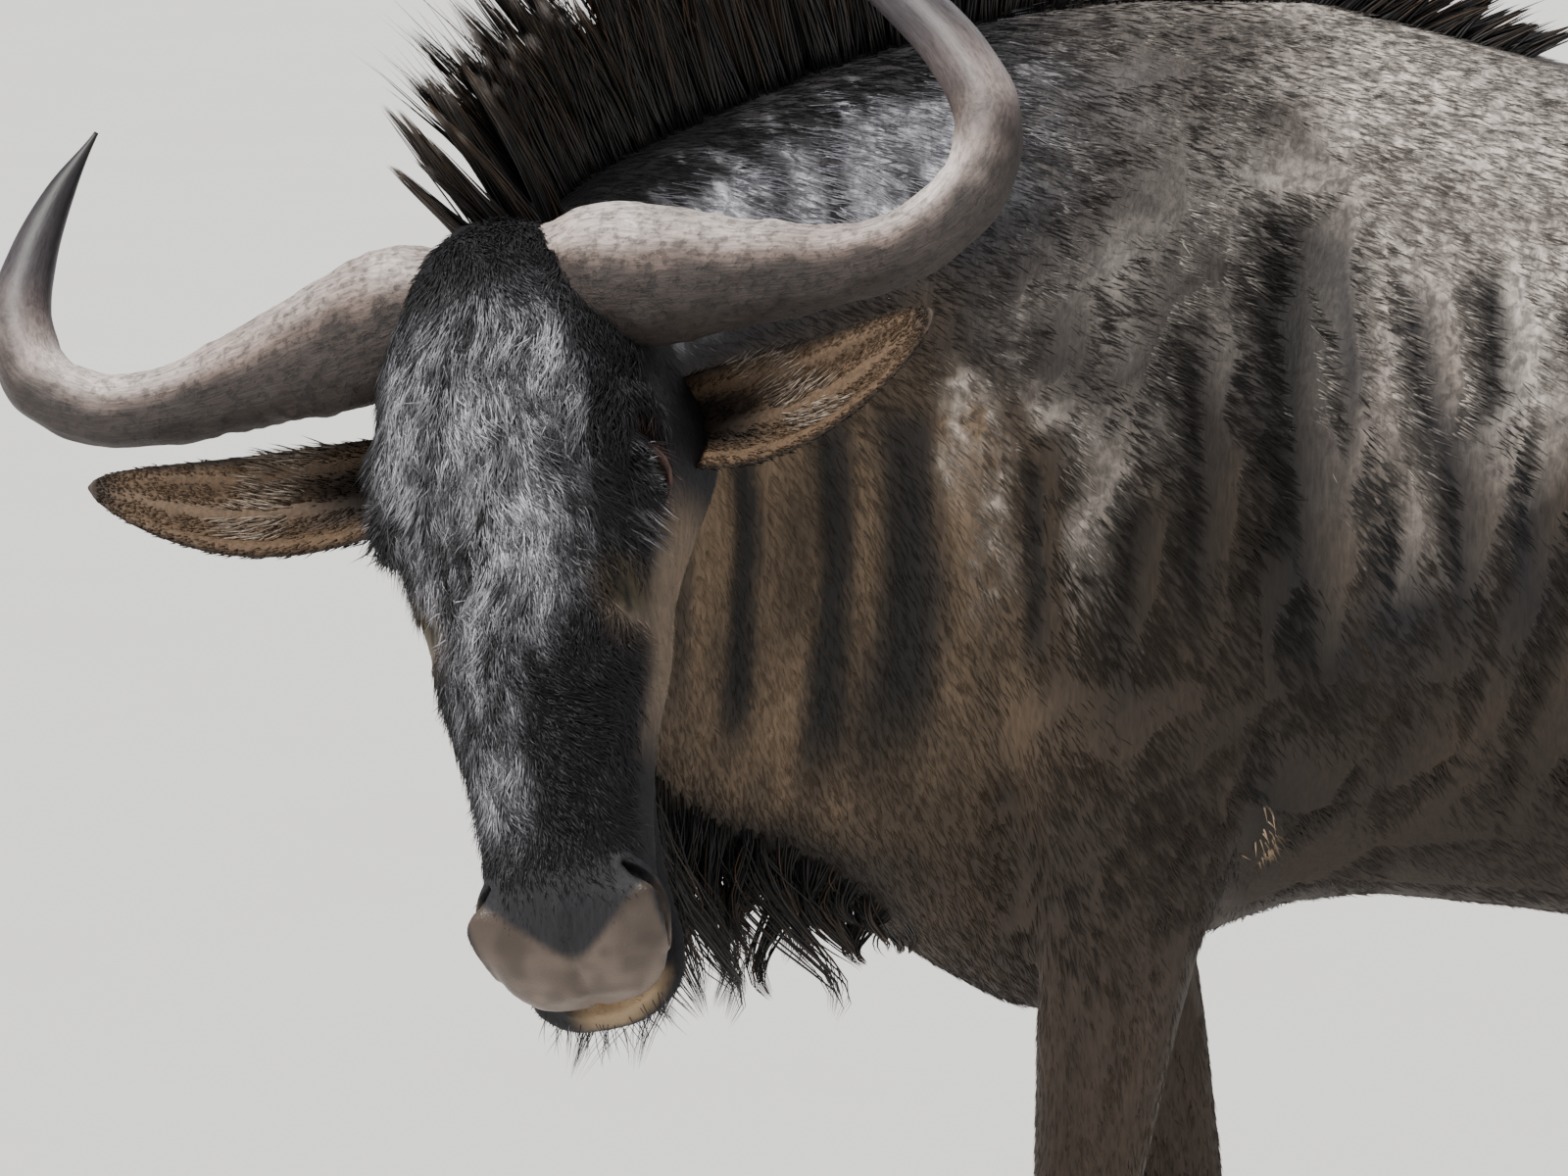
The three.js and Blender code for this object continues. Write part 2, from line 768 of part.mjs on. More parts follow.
// Everything on one side of a plane, as a large block whose face lies half a gap from it.
function beyond({ at, way }, side) {
  const size = 3000;
  const normal = headWay(way).multiplyScalar(side);
  const box = new THREE.BoxGeometry(size, size, size);
  const turn = new THREE.Quaternion().setFromUnitVectors(vector([0, 0, 1]), normal);
  const centre = headSpot(at).addScaledVector(normal, (size + GAP) / 2);
  box.applyQuaternion(turn).translate(...centre.toArray());
  return solid(box);
}

// Parts the legs from the body and at their joints, and adds their claws.
function legNodes(whole) {
  const nodes = [];
  let rest = whole;
  for (const [name, leg] of Object.entries(LEGS)) {
    const fore = leg.stations === FORELEG;
    const x = fore ? [-320, 320] : [480, 1300];
    const y = leg.side < 0 ? [-400, -2] : [2, 400];
    const region = (low, high) => block([x[0], y[0], low], [x[1], y[1], high]);
    const top = fore ? ELBOW : STIFLE;
    const joint = fore ? KNEE : HOCK;
    const upper = whole.intersect(region(joint + GAP, top));
    const lower = joined([whole.intersect(region(CORONET + GAP, joint)), ...dewclaws(leg)]);
    rest = rest.subtract(region(-50, top + GAP));
    nodes.push([`leg_${name}_upper`, upper], [`leg_${name}_lower`, lower], ...claws(name, leg));
  }
  return { nodes, rest };
}

// Colours and finishes
const finish = (color, roughness) =>
  new THREE.MeshStandardMaterial({ color, roughness, metalness: 0 });
const COAT = finish(0x57504b, 0.8);
const NECK_COAT = finish(0x4a413a, 0.8);
const FACE = finish(0x24242a, 0.75);
const HORN_SHEATH = finish(0x7d7169, 0.55);
const EAR_COAT = finish(0x6f5139, 0.8);
const EYE = finish(0x140c08, 0.1);
const HAIR = finish(0x17151a, 0.7);
const HOOF = finish(0x1d1a19, 0.45);
const LEG = finish(0x4b413a, 0.8);

// Assembly

const animal = new THREE.Group();

function addNode(name, made, material) {
  const { vertProperties, triVerts } = largest(made).getMesh();
  const geometry = new THREE.BufferGeometry();
  geometry.setAttribute("position", new THREE.BufferAttribute(vertProperties, 3));
  geometry.setIndex(new THREE.BufferAttribute(triVerts, 1));
  const mesh = new THREE.Mesh(geometry, material);
  mesh.name = name;
  animal.add(mesh);
}

const names = Object.keys(SIDES);
const sides = Object.values(SIDES);
const headSolid = onHead(joined([headForm(), ...sides.map(lids)]));
const sockets = names.flatMap((name) => [horn(name, GAP), ear(name, GAP)]);
const cores = [maneCore(), beardCore(JAW_BEARD, jawSpot), beardCore(THROAT_BEARD, throatSpot)];
const locks = [
  ...maneLocks(),
  ...crownLocks(),
  ...hangingLocks(JAW_BEARD, jawSpot, vector([0, 0.3, 0])),
  ...hangingLocks(THROAT_BEARD, throatSpot, vector([0.25, 0, 0])),
].map(lock);
const flesh = joined([trunk, headSolid, ...limbs, ...cores, ...locks]);
const { nodes: legs, rest } = legNodes(flesh.subtract(onHead(joined([headCuts(), ...sockets]))));

const NECK_CUT = -210; // x of the plane between neck and torso
const RUMP_CUT = 560; // x of the plane between barrel and rump
const slice = (from, to) => block([from, -900, -100], [to, 900, 1900]);
const ahead = rest.intersect(slice(-1200, NECK_CUT));
const torso = rest.intersect(slice(NECK_CUT + GAP, RUMP_CUT));
const rump = rest.intersect(slice(RUMP_CUT + GAP, 1400));

addNode("head", ahead.intersect(beyond(NAPE_CUT, -1)), FACE);
addNode("neck", ahead.intersect(beyond(NAPE_CUT, 1)), NECK_COAT);
addNode("torso", torso, COAT);
addNode("rump", rump.subtract(tailDock(GAP)), COAT);
for (const [name, made] of legs) addNode(name, made, name.startsWith("hoof") ? HOOF : LEG);
for (const name of names) {
  addNode(`horn_${name}`, onHead(horn(name)), HORN_SHEATH);
  addNode(`ear_${name}`, onHead(ear(name).subtract(horn(name, GAP))), EAR_COAT);
  addNode(`eye_${name}`, onHead(eyeball(SIDES[name], EYE_RADIUS)), EYE);
}
addNode("tail_dock", tailDock(), COAT);
addNode("tail_tuft", tailTuft().subtract(tailDock(GAP)), HAIR);

const box = new THREE.Box3().setFromObject(animal);
const middle = box.getCenter(new THREE.Vector3());
animal.position.set(-middle.x, -middle.y, -box.min.z);

export default animal;
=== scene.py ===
import math

import bmesh
import bpy
import numpy as np
from bpy.props import FloatProperty, FloatVectorProperty, IntProperty
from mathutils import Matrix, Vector


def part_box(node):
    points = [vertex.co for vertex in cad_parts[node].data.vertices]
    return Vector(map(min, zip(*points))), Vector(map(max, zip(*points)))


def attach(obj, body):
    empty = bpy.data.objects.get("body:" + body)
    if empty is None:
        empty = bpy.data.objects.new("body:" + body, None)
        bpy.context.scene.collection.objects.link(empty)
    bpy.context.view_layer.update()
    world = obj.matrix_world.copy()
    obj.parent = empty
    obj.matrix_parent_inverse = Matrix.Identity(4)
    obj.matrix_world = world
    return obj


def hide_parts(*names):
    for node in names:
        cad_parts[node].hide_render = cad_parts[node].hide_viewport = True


bl_info = {
    "name": "Blue wildebeest",
    "version": (1, 0, 0),
    "blender": (4, 5, 0),
    "location": "View3D > Sidebar > Wildebeest",
    "description": "Dresses the solids of a standing blue wildebeest in skin, coat, hair and horn",
    "category": "Add Mesh",
}

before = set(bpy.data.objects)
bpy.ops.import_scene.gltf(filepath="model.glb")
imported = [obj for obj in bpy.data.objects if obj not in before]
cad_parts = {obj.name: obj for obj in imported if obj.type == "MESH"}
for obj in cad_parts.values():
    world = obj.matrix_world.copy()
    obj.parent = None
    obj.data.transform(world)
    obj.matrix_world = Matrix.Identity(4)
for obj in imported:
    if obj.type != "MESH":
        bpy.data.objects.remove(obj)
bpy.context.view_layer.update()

# Sizes shared with the solids

# The trunk from the tail to the back of the head:
# x, y of its middle line, top edge, bottom edge, half width, sharpness of the ridge
TRUNK = [
    [1028, 0, 1120, 1020, 26, 2],
    [1008, 0, 1165, 930, 100, 2],
    [950, 0, 1200, 815, 160, 2],
    [830, 0, 1228, 742, 205, 2],
    [690, 0, 1240, 706, 216, 2],
    [520, 0, 1258, 682, 236, 2],
    [350, 0, 1292, 670, 246, 1.9],
    [200, 0, 1335, 692, 232, 1.7],
    [80, 0, 1366, 700, 212, 1.6],
    [-20, 0, 1376, 672, 200, 1.5],
    [-120, 0, 1371, 622, 188, 1.5],
    [-200, -6, 1356, 652, 168, 1.6],
    [-280, -22, 1338, 708, 150, 1.6],
    [-360, -54, 1314, 750, 132, 1.7],
    [-435, -100, 1292, 778, 116, 1.8],
    [-496, -158, 1272, 826, 104, 1.9],
    [-536, -222, 1254, 892, 96, 2],
    [-553, -285, 1234, 972, 84, 2],
    [-556, -335, 1205, 1050, 64, 2],
]

# The head's own axes: from the poll down the face, toward its left, and out of the forehead
POLL = np.array([-573.0, -332.0, 1237.0])
DOWN_FACE = np.array([0.034, -0.434, -0.9])
OUT_LEFT = np.array([0.885, -0.406, 0.229])

# The skull from the poll to the lips: distance down the face, forehead side, throat side,
# half width, squareness of the face
SKULL = [
    [-12, 26, -64, 34, 2],
    [4, 48, -92, 58, 2],
    [30, 62, -120, 80, 2.2],
    [66, 68, -142, 94, 2.4],
    [112, 70, -154, 105, 2.6],
    [159, 67, -150, 109, 2.6],
    [205, 61, -138, 100, 2.5],
    [261, 54, -118, 88, 2.4],
    [317, 47, -98, 81, 2.4],
    [373, 41, -80, 67, 2.4],
    [420, 37, -66, 61, 2.5],
    [467, 31, -58, 62, 2.6],
    [500, 16, -52, 62, 2.6],
    [518, -2, -47, 54, 2.4],
    [529, -17, -42, 36, 2],
]
# The lower jaw from its angle to the chin: distance down the face, top, bottom, half width
JAW = [
    [96, -96, -150, 40, 2.2],
    [130, -70, -166, 62, 2.2],
    [200, -66, -150, 62, 2.2],
    [290, -60, -122, 50, 2.2],
    [380, -54, -102, 46, 2.2],
    [440, -48, -92, 51, 2.2],
    [490, -45, -86, 61, 2.2],
    [518, -45, -79, 58, 2.2],
    [534, -48, -72, 42, 2.2],
    [541, -52, -66, 22, 2.2],
]
# Where flesh swells the skull's outline: distance down the face, to the side, forward, reach
# and height
FACE_SWELLINGS = [[150, 92, -84, 62, 15], [158, 98, 34, 32, 12], [478, 58, 8, 22, 13]]
MOUTH_LINE = -46

# Horns in the head's axes: distance down the face, to the side, forward, radius
HORN = [
    [30, 22, 0, 34],
    [38, 72, 6, 49],
    [50, 120, 10, 47],
    [60, 178, 11, 37],
    [68, 240, 11, 28],
    [60, 298, 9, 25.5],
    [30, 340, 6, 25],
    [-16, 353, 2, 23.5],
]
HORN_TIPS = {
    "left": [[-66, 336, -3, 21.5], [-118, 300, -9, 18.5], [-168, 252, -16, 12], [-206, 206, -22, 2]],
    "right": [[-62, 341, -2, 18], [-106, 318, -6, 11], [-146, 288, -10, 2]],
}
HORN_FLATTENED = 0.86
HORN_SIDES, HORN_RINGS = 56, 190
SIDES = {"left": 1, "right": -1}

# Eyes in the head's axes: middle of the ball, the way it looks, and its radius
EYE_PLACE = [188, 83, 14]
EYE_LOOK = [0.06, 0.9, 0.42]
EYE_RADIUS = 22

# Ears in the head's axes: root and tip, half width, depth of the cup, sag of the middle line
# and thickness of the wall
EAR_ROOT = [134, 88, -58]
EAR_TIP = [118, 304, 28]
EAR_HALF_WIDTH = 39
EAR_CUP = 24
EAR_SAG = 23
EAR_THICK = 3.2

# Legs: height, x, distance from the middle plane, half depth, half width
FORELEG = [
    [1090, -20, 120, 60, 40],
    [960, -52, 126, 116, 46],
    [860, -76, 142, 110, 52],
    [780, -88, 140, 84, 50],
    [700, -94, 130, 64, 45],
    [620, -104, 126, 53, 41],
    [530, -115, 124, 43, 37],
    [462, -119, 123, 38, 35],
    [402, -121, 122, 41, 37],
    [350, -120, 121, 33, 30],
    [290, -118, 120, 26, 25],
    [190, -117, 120, 24, 23],
    [126, -120, 120, 33, 30],
    [92, -129, 120, 31, 30],
    [66, -139, 120, 33, 33],
]
HINDLEG = [
    [1140, 800, 60, 120, 40],
    [1040, 800, 120, 172, 66],
    [930, 788, 144, 176, 66],
    [840, 776, 150, 156, 60],
    [760, 790, 148, 118, 50],
    [680, 832, 142, 80, 41],
    [600, 878, 132, 55, 34],
    [535, 908, 126, 46, 31],
    [482, 908, 123, 43, 30],
    [430, 898, 121, 33, 27],
    [350, 892, 120, 27, 24],
    [220, 886, 119, 25, 23],
    [130, 882, 118, 33, 29],
    [94, 873, 118, 31, 29],
    [66, 862, 118, 32, 32],
]
# Where each leg stands: its table, its side, and how far its foot is moved along the body
LEGS = {
    "front_left": (FORELEG, -1, 0),
    "front_right": (FORELEG, 1, 128),
    "rear_left": (HINDLEG, -1, 12),
    "rear_right": (HINDLEG, 1, -88),
}
HIP_HEIGHT = 900
KNEE = 402
HOCK = 482
CORONET = 66
CLAW_LENGTH = 104
CLAW_WIDTH = 40
TOE_REACH = 0.62
CLEFT = 5

TAIL_LINE = [[985, 0, 1140], [1034, 0, 1120], [1066, 0, 1050], [1076, 0, 940], [1080, 0, 820]]
TUFT_LINE = [[1080, 0, 830], [1085, 0, 700], [1092, 0, 520], [1094, 0, 330]]
# The share of the tuft's line that hair grows on
TUFT_END = 0.76

# The mane, from the head back over the withers: x of its root, hair length, lean toward the
# head in degrees
MANE = [
    [-534, 178, 38],
    [-512, 188, 36],
    [-480, 200, 32],
    [-436, 210, 28],
    [-350, 215, 20],
    [-250, 205, 10],
    [-150, 170, -6],
    [-50, 135, -26],
    [50, 105, -42],
    [150, 80, -55],
    [240, 55, -64],
]
# The mane's pieces: name, first and last share of its length, locks on each side
MANE_PIECES = [("mane_front", 0.0, 0.42, 22), ("mane_back", 0.42, 1.0, 32)]
# Locks on the crown behind the horns: root in the head's axes, hair length, lean in degrees
CROWN = [
    [[-6, -12, -24], 108, 40],
    [[-8, 0, -36], 150, 30],
    [[-10, 12, -20], 118, 34],
    [[-8, 24, -40], 165, 24],
]
# The beard: where its roots run from and to, down the face and along x, and its length there
JAW_BEARD = {"from": 478, "to": 200, "length": [30, 80, 190, 250, 240]}
THROAT_BEARD = {"from": -512, "to": -236, "length": [258, 232, 152, 84, 40]}
BEARD_LOCKS = 15

# Hairs of the smaller parts: a lock of the crown, one ear, one upper lid, one brow, the chin
CROWN_HAIRS = 150
EAR_HAIRS = 5000
LASHES = 60
BROW_HAIRS = 620
WHISKERS = 60

# Sums on arrays of points


def unit(ways):
    return ways / np.maximum(np.linalg.norm(ways, axis=-1, keepdims=True), 1e-9)


def ease(value, low, high):
    """0 below low, 1 above high and smooth between them; low may be the larger."""
    share = np.clip((value - low) / (high - low), 0, 1)
    return share * share * (3 - 2 * share)


def step_at(count, u):
    """For shares u of a row of points, the point before each share and how far it is past it."""
    place = np.clip(np.asarray(u, float), 0, 1) * (count - 1)
    first = np.minimum(place.astype(int), count - 2)
    return first, (place - first)[..., None]


def smooth_run(b, c, start, end, f):
    """From b to c at shares f of the way, with the given slopes at its start and end."""
    rise = c - b
    return b + f * (start + f * (3 * rise - 2 * start - end + f * (start + end - 2 * rise)))


def between(stations, u):
    """The rows of a table of stations, eased between them, for shares u of its length."""
    table = np.asarray(stations, float)
    first, f = step_at(len(table), u)
    a, b, c, d = (table[np.clip(first + step, 0, len(table) - 1)] for step in (-1, 0, 1, 2))
    return smooth_run(b, c, (c - a) / 2, (d - b) / 2, f)


def share_at(stations, value):
    """Where a table of stations reaches a value in its first column, as a share of its length."""
    table = np.asarray(stations, float)
    shares = np.linspace(0, 1, len(table))
    if table[0, 0] > table[-1, 0]:
        return np.interp(value, table[::-1, 0], shares[::-1])
    return np.interp(value, table[:, 0], shares)


def curve(points, u):
    """Points of a smooth curve through the given ones, for shares u of its length."""
    points = np.asarray(points, float)
    first, f = step_at(len(points), u)
    longer = np.vstack([2 * points[0] - points[1], points, 2 * points[-1] - points[-2]])
    a, b, c, d = (longer[first + step] for step in range(4))
    ab, bc, cd = (
        np.sqrt(np.linalg.norm(q - p, axis=-1, keepdims=True)) + 1e-9
        for p, q in ((a, b), (b, c), (c, d))
    )
    start = ((b - a) / ab - (c - a) / (ab + bc) + (c - b) / bc) * bc
    end = ((c - b) / bc - (d - b) / (bc + cd) + (d - c) / cd) * bc
    return smooth_run(b, c, start, end, f)


def rounded(turn, squareness):
    """The two factors of a rounded outline: 2 is an ellipse, more is squarer."""
    power = 2 / np.asarray(squareness, float)
    side, up = np.sin(turn), np.cos(turn)
    return np.sign(side) * np.abs(side) ** power, np.sign(up) * np.abs(up) ** power


def lattice(cells, seed):
    """A steady draw from 0 to 1 for each whole-numbered cell."""
    mixed = cells[..., 0] * 374761393 + cells[..., 1] * 668265263 + cells[..., 2] * 2147483647
    mixed = (mixed + seed * 974634777) & 0xFFFFFFFF
    mixed = ((mixed ^ (mixed >> 13)) * 1274126177) & 0xFFFFFFFF
    return ((mixed ^ (mixed >> 16)) & 0xFFFF) / 65535.0


def patches(points, size, seed=0):
    """Soft random patches of the given size, from 0 to 1."""
    place = points / size
    base = np.floor(place).astype(np.int64)
    f = place - base
    f = f * f * (3 - 2 * f)
    total = np.zeros(len(points))
    for corner in np.ndindex(2, 2, 2):
        weight = np.prod(np.where(corner, f, 1 - f), axis=1)
        total += weight * lattice(base + np.array(corner), seed)
    return total


def hills(points, rows):
    """Sum of soft hills: each row is a centre, three reaches and a height."""
    total = np.zeros(len(points))
    for row in rows:
        centre, reach, height = np.array(row[:3]), np.array(row[3:6]), row[6]
        away = (points[:, : len(centre)] - centre) / reach
        total += height * np.exp(-np.sum(away * away, axis=1))
    return total


def off_line(points, line):
    """Distance of points from a broken line, and the share of its length where they are nearest."""
    line = np.asarray(line, float)
    best = np.full(len(points), 1e9)
    share = np.zeros(len(points))
    for k, (start, end) in enumerate(zip(line[:-1], line[1:])):
        way = end - start
        t = np.clip((points - start) @ way / (way @ way), 0, 1)
        away = np.linalg.norm(points - start - t[:, None] * way, axis=1)
        nearer = away < best
        best[nearer] = away[nearer]
        share[nearer] = (k + t[nearer]) / (len(line) - 1)
    return best, share


# Frames and places

OFF_BROW = np.cross(DOWN_FACE, OUT_LEFT)
HEAD = np.array([unit(DOWN_FACE), unit(OUT_LEFT), unit(OFF_BROW)])
HEAD_BACK = np.linalg.inv(HEAD)


def head_spot(rows):
    return POLL + np.asarray(rows, float) @ HEAD


def head_way(rows):
    return unit(np.asarray(rows, float) @ HEAD)


def on_head(points):
    """Points in the head's axes."""
    return (points - POLL) @ HEAD_BACK


# How far the frame's origin lies from the ground point below the withers, found from an eye
_eye_low, _eye_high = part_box("eye_left")
SHIFT = np.array((_eye_low + _eye_high) / 2) * 1000 - head_spot(EYE_PLACE)


def placed(points):
    """Millimetres in the animal's axes to metres in the frame."""
    return (points + SHIFT) / 1000


def unplaced(points):
    return points * 1000 - SHIFT


BATCH = 50000
SPINE_U = np.linspace(0, 1, 400)
SPINE = between(TRUNK, SPINE_U)[:, :2]
SPINE_WAY = unit(np.gradient(SPINE, axis=0))


def spine_way(u):
    """The way from tail to head at shares of the trunk, level."""
    way = np.stack([np.interp(u, SPINE_U, SPINE_WAY[:, k]) for k in (0, 1)], -1)
    return unit(np.concatenate([way, np.zeros_like(way[..., :1])], -1))


def trunk_spot(u, turn, reach=1.0):
    """Points of the trunk's outline: turn 0 is the ridge, a quarter turn on is the left side."""
    x, y, top, bottom, half, ridge = np.moveaxis(between(TRUNK, u), -1, 0)
    way = spine_way(u)
    middle = (bottom + top) / 2
    upper = np.cos(turn) > 0
    side, up = rounded(turn, np.where(upper, ridge, 2.1))
    out = half * side * reach
    height = (top - bottom) / 2
    return np.stack([x - way[..., 1] * out, y + way[..., 0] * out, middle + height * up * reach], -1)


def trunk_place(points):
    """For each point the share of the trunk beside it, and how far it is out to the animal's left."""
    u = np.interp(-points[:, 0], -SPINE[:, 0], SPINE_U)
    out = -points[:, 1]
    bent = np.nonzero(points[:, 0] < -90)[0]
    middle, ways, shares = SPINE[180::2], SPINE_WAY[180::2], SPINE_U[180::2]
    # in batches, to spare memory
    for start in range(0, len(bent), BATCH):
        part = bent[start : start + BATCH]
        away = points[part, None, :2] - middle
        near = np.argmin(np.sum(away * away, axis=2), axis=1)
        rest = points[part, :2] - middle[near]
        u[part] = shares[near]
        out[part] = -rest[:, 0] * ways[near, 1] + rest[:, 1] * ways[near, 0]
    return u, out


def leg_place(points, leg):
    """For each point the row of the leg's table at its height, moved as its foot is."""
    stations, side, step = LEGS[leg]
    row = between(stations, share_at(stations, points[:, 2]))
    moved = step * ease(HIP_HEIGHT - points[:, 2], 0, HIP_HEIGHT - KNEE)
    return row[:, 1] + moved, side * row[:, 2], row[:, 3], row[:, 4]


# Closed forms as meshes


def loft(bm, ring, sides, steps):
    """A closed form: a capped circle is set on the first ring and extruded through the rest."""
    turn = np.arange(sides) * 2 * math.pi / sides
    start = bmesh.ops.create_circle(bm, cap_ends=True, segments=sides, radius=1)
    cap = start["verts"][0].link_faces[0]
    for step in range(steps + 1):
        if step:
            grown = bmesh.ops.extrude_face_region(bm, geom=[cap])
            if step > 1:
                bmesh.ops.delete(bm, geom=[cap], context="FACES_ONLY")
            cap = next(item for item in grown["geom"] if isinstance(item, bmesh.types.BMFace))
        for vert, spot in zip(cap.verts, placed(ring(turn, np.full(sides, step / steps)))):
            vert.co = spot


def skull_ring(stations, lower):
    def ring(turn, u):
        down, top, bottom, half, square = np.moveaxis(between(stations, u), -1, 0)
        side, up = rounded(turn, np.where(np.cos(turn) > 0, square, lower))
        spot = np.stack([0 * side, half * side, (top - bottom) / 2 * up], -1)
        middle = np.stack([down, 0 * down, (top + bottom) / 2], -1)
        swell = 0
        for at, out, off, reach, height in FACE_SWELLINGS:
            crest = np.stack([0 * down + at, np.sign(spot[:, 1]) * out, 0 * down + off], -1)
            away = crest - spot - middle
            swell = swell + height * np.exp(-np.sum(away * away, axis=1) / reach**2)
        return head_spot(spot + unit(spot) * swell[:, None] + middle)

    return ring


def leg_ring(leg):
    stations, side, step = LEGS[leg]

    def ring(turn, u):
        z, x, out, deep, wide = np.moveaxis(between(stations, u), -1, 0)
        moved = step * ease(HIP_HEIGHT - z, 0, HIP_HEIGHT - KNEE)
        across, along = rounded(turn, 2.2)
        return np.stack([x + moved + deep * along, side * (out + wide * across), z], -1)

    return ring


def sweep_ring(path, across, size):
    """The rings of a bent rod: size(u) gives its half width along "across" and its half depth."""
    across = np.asarray(across, float)

    def ring(turn, u):
        ahead, behind = curve(path, np.minimum(u + 0.004, 1)), curve(path, np.maximum(u - 0.004, 0))
        along = unit(ahead - behind)
        side = unit(across - along * (along @ across)[:, None])
        deep = np.cross(along, side)
        wide, thick = size(u)
        return (
            curve(path, u)
            + side * (wide * np.sin(turn))[:, None]
            + deep * (thick * np.cos(turn))[:, None]
        )

    return ring


def read_rows(rows, key):
    values = np.empty(len(rows) * 3, np.float32)
    rows.foreach_get(key, values)
    return values.reshape(-1, 3).astype(float)


def mesh_points(mesh):
    return read_rows(mesh.vertices, "co")


def surface(mesh):
    """A mesh's points in millimetres and the ways out of it."""
    return unplaced(mesh_points(mesh)), read_rows(mesh.vertex_normals, "vector")


def set_points(mesh, points):
    """Moves a mesh's points to the given ones, in millimetres."""
    mesh.vertices.foreach_set("co", placed(points).astype(np.float32).ravel())
    mesh.update()


def mesh_of(bm, name):
    """Turns a finished bmesh into a mesh."""
    mesh = bpy.data.meshes.new(name)
    bm.to_mesh(mesh)
    bm.free()
    return mesh


def linked(name, data):
    """A new object in the scene."""
    thing = bpy.data.objects.new(name, data)
    bpy.context.scene.collection.objects.link(thing)
    return thing


def new_piece(name, mesh, material, slot, *nodes):
    """Names and dresses a piece, lets it ride on the body and stand for its solids."""
    piece = linked(name, mesh)
    mesh.name = name
    mesh.materials.append(material)
    mesh.polygons.foreach_set("use_smooth", np.ones(len(mesh.polygons), bool))
    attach(piece, "root")
    if nodes:
        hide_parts(*nodes)


def applied(mesh, *modifiers):
    """The mesh with modifiers applied: each is a type, its settings and each point's share in it,
    or None for all of the mesh."""
    piece = linked("making", mesh)
    piece.vertex_groups.clear()
    for kind, options, shares in modifiers:
        if shares is not None:
            members = piece.vertex_groups.new(name="part")
            for share in np.unique(shares[shares > 0]):
                members.add(np.nonzero(shares == share)[0].tolist(), float(share), "REPLACE")
            options = {**options, "vertex_group": "part"}
        modifier = piece.modifiers.new(kind.title(), kind)
        for key, value in options.items():
            setattr(modifier, key, value)
    seen = piece.evaluated_get(bpy.context.evaluated_depsgraph_get())
    made = bpy.data.meshes.new_from_object(seen)
    bpy.data.objects.remove(piece)
    bpy.data.meshes.remove(mesh)
    return made


def closed_form(ring, sides, steps):
    """A mesh of one lofted form, with its faces outward."""
    bm = bmesh.new()
    loft(bm, ring, sides, steps)
    bmesh.ops.recalc_face_normals(bm, faces=bm.faces)
    return mesh_of(bm, "form")


def colour_points(mesh, name, *columns):
    """Numbers for each point, three of them in all, for the materials to read."""
    rows = np.ones((len(mesh.vertices), 4))
    rows[:, :3] = np.column_stack(columns)
    layer = mesh.color_attributes.new(name, "FLOAT_COLOR", "POINT")
    layer.data.foreach_set("color", rows.astype(np.float32).ravel())


# Colours


def linear(code):
    """A colour written as in a paint chart, six hexadecimal digits, in linear light."""
    parts = [int(code[k : k + 2], 16) / 255 for k in (0, 2, 4)]
    return np.array([p / 12.92 if p <= 0.04045 else ((p + 0.055) / 1.055) ** 2.4 for p in parts])


def blend(first, second, share):
    share = np.asarray(share, float)[..., None]
    return first * (1 - share) + second * share


COAT = {
    "grey": linear("6a625c"),  # barrel and rump
    "silver": linear("c9c0b7"),  # pale hair tips of the back and shoulder, with a painted sheen of light from above
    "brown": linear("332a21"),  # lower flank and shoulder
    "neck": linear("655442"),
    "stripe": linear("131110"),
    "valley": linear("1c1c20"),
    "belly": linear("2a221b"),
    "leg": linear("40352c"),
    "face": linear("201f22"),
    "frost_and_sheen": linear("e4e3eb"),  # grey hair of the forehead, with a painted sheen on it
    "cheek": linear("6e5f50"),
    "black": linear("1a1919"),
    "tip": linear("75593f"),  # brown ends of long hair, painted as light shining through them
    "pad": linear("5a4e45"),
    "lip": linear("ad9474"),
    "lid": linear("5c4238"),
    "gland": linear("463e30"),  # bare skin of the gland before the eye
    "callus": linear("c2a98a"),  # bare skin behind the elbow
}
# Horn colours; the pale one is a painted highlight for the upper side, the under one painted shade
HORN_GREY, HORN_DARK = linear("8c7b74"), linear("3d383b")
HORN_WARM, HORN_TOP_HIGHLIGHT = linear("7a6155"), linear("e0d4cd")
HORN_UNDER_SHADE, HORN_TIP, HORN_PIT = linear("211a16"), linear("1c1a1c"), linear("3a302c")
HOOF_DARK, HOOF_LIGHT = linear("242120"), linear("4a4038")
# Ear colours; the rim's dark is also painted as shade deep in the cup near the root
EAR_INNER, EAR_OUTER = linear("5d4b3a"), linear("3a3029")
EAR_RIM, EAR_PALE = linear("1d1917"), linear("b3a596")
EYE_WHITE, EYE_IRIS, EYE_PUPIL = linear("2a201b"), linear("20130b"), linear("050404")

# Pale patches of the shoulder, pale hair with painted sheen: x along the middle line, height,
# # two reaches, strength
PALE_PATCHES = [
    [-238, 1065, 30, 52, 0.9],
    [-223, 985, 19, 50, 0.85],
    [-126, 1050, 15, 40, 0.7],
    [-142, 1000, 13, 36, 0.7],
    [-76, 1120, 17, 66, 0.6],
    [-165, 1130, 34, 50, 0.55],
    [-120, 1215, 90, 60, 0.6],
    [-40, 1260, 90, 50, 0.6],
    [38, 1100, 13, 130, 0.9],
]
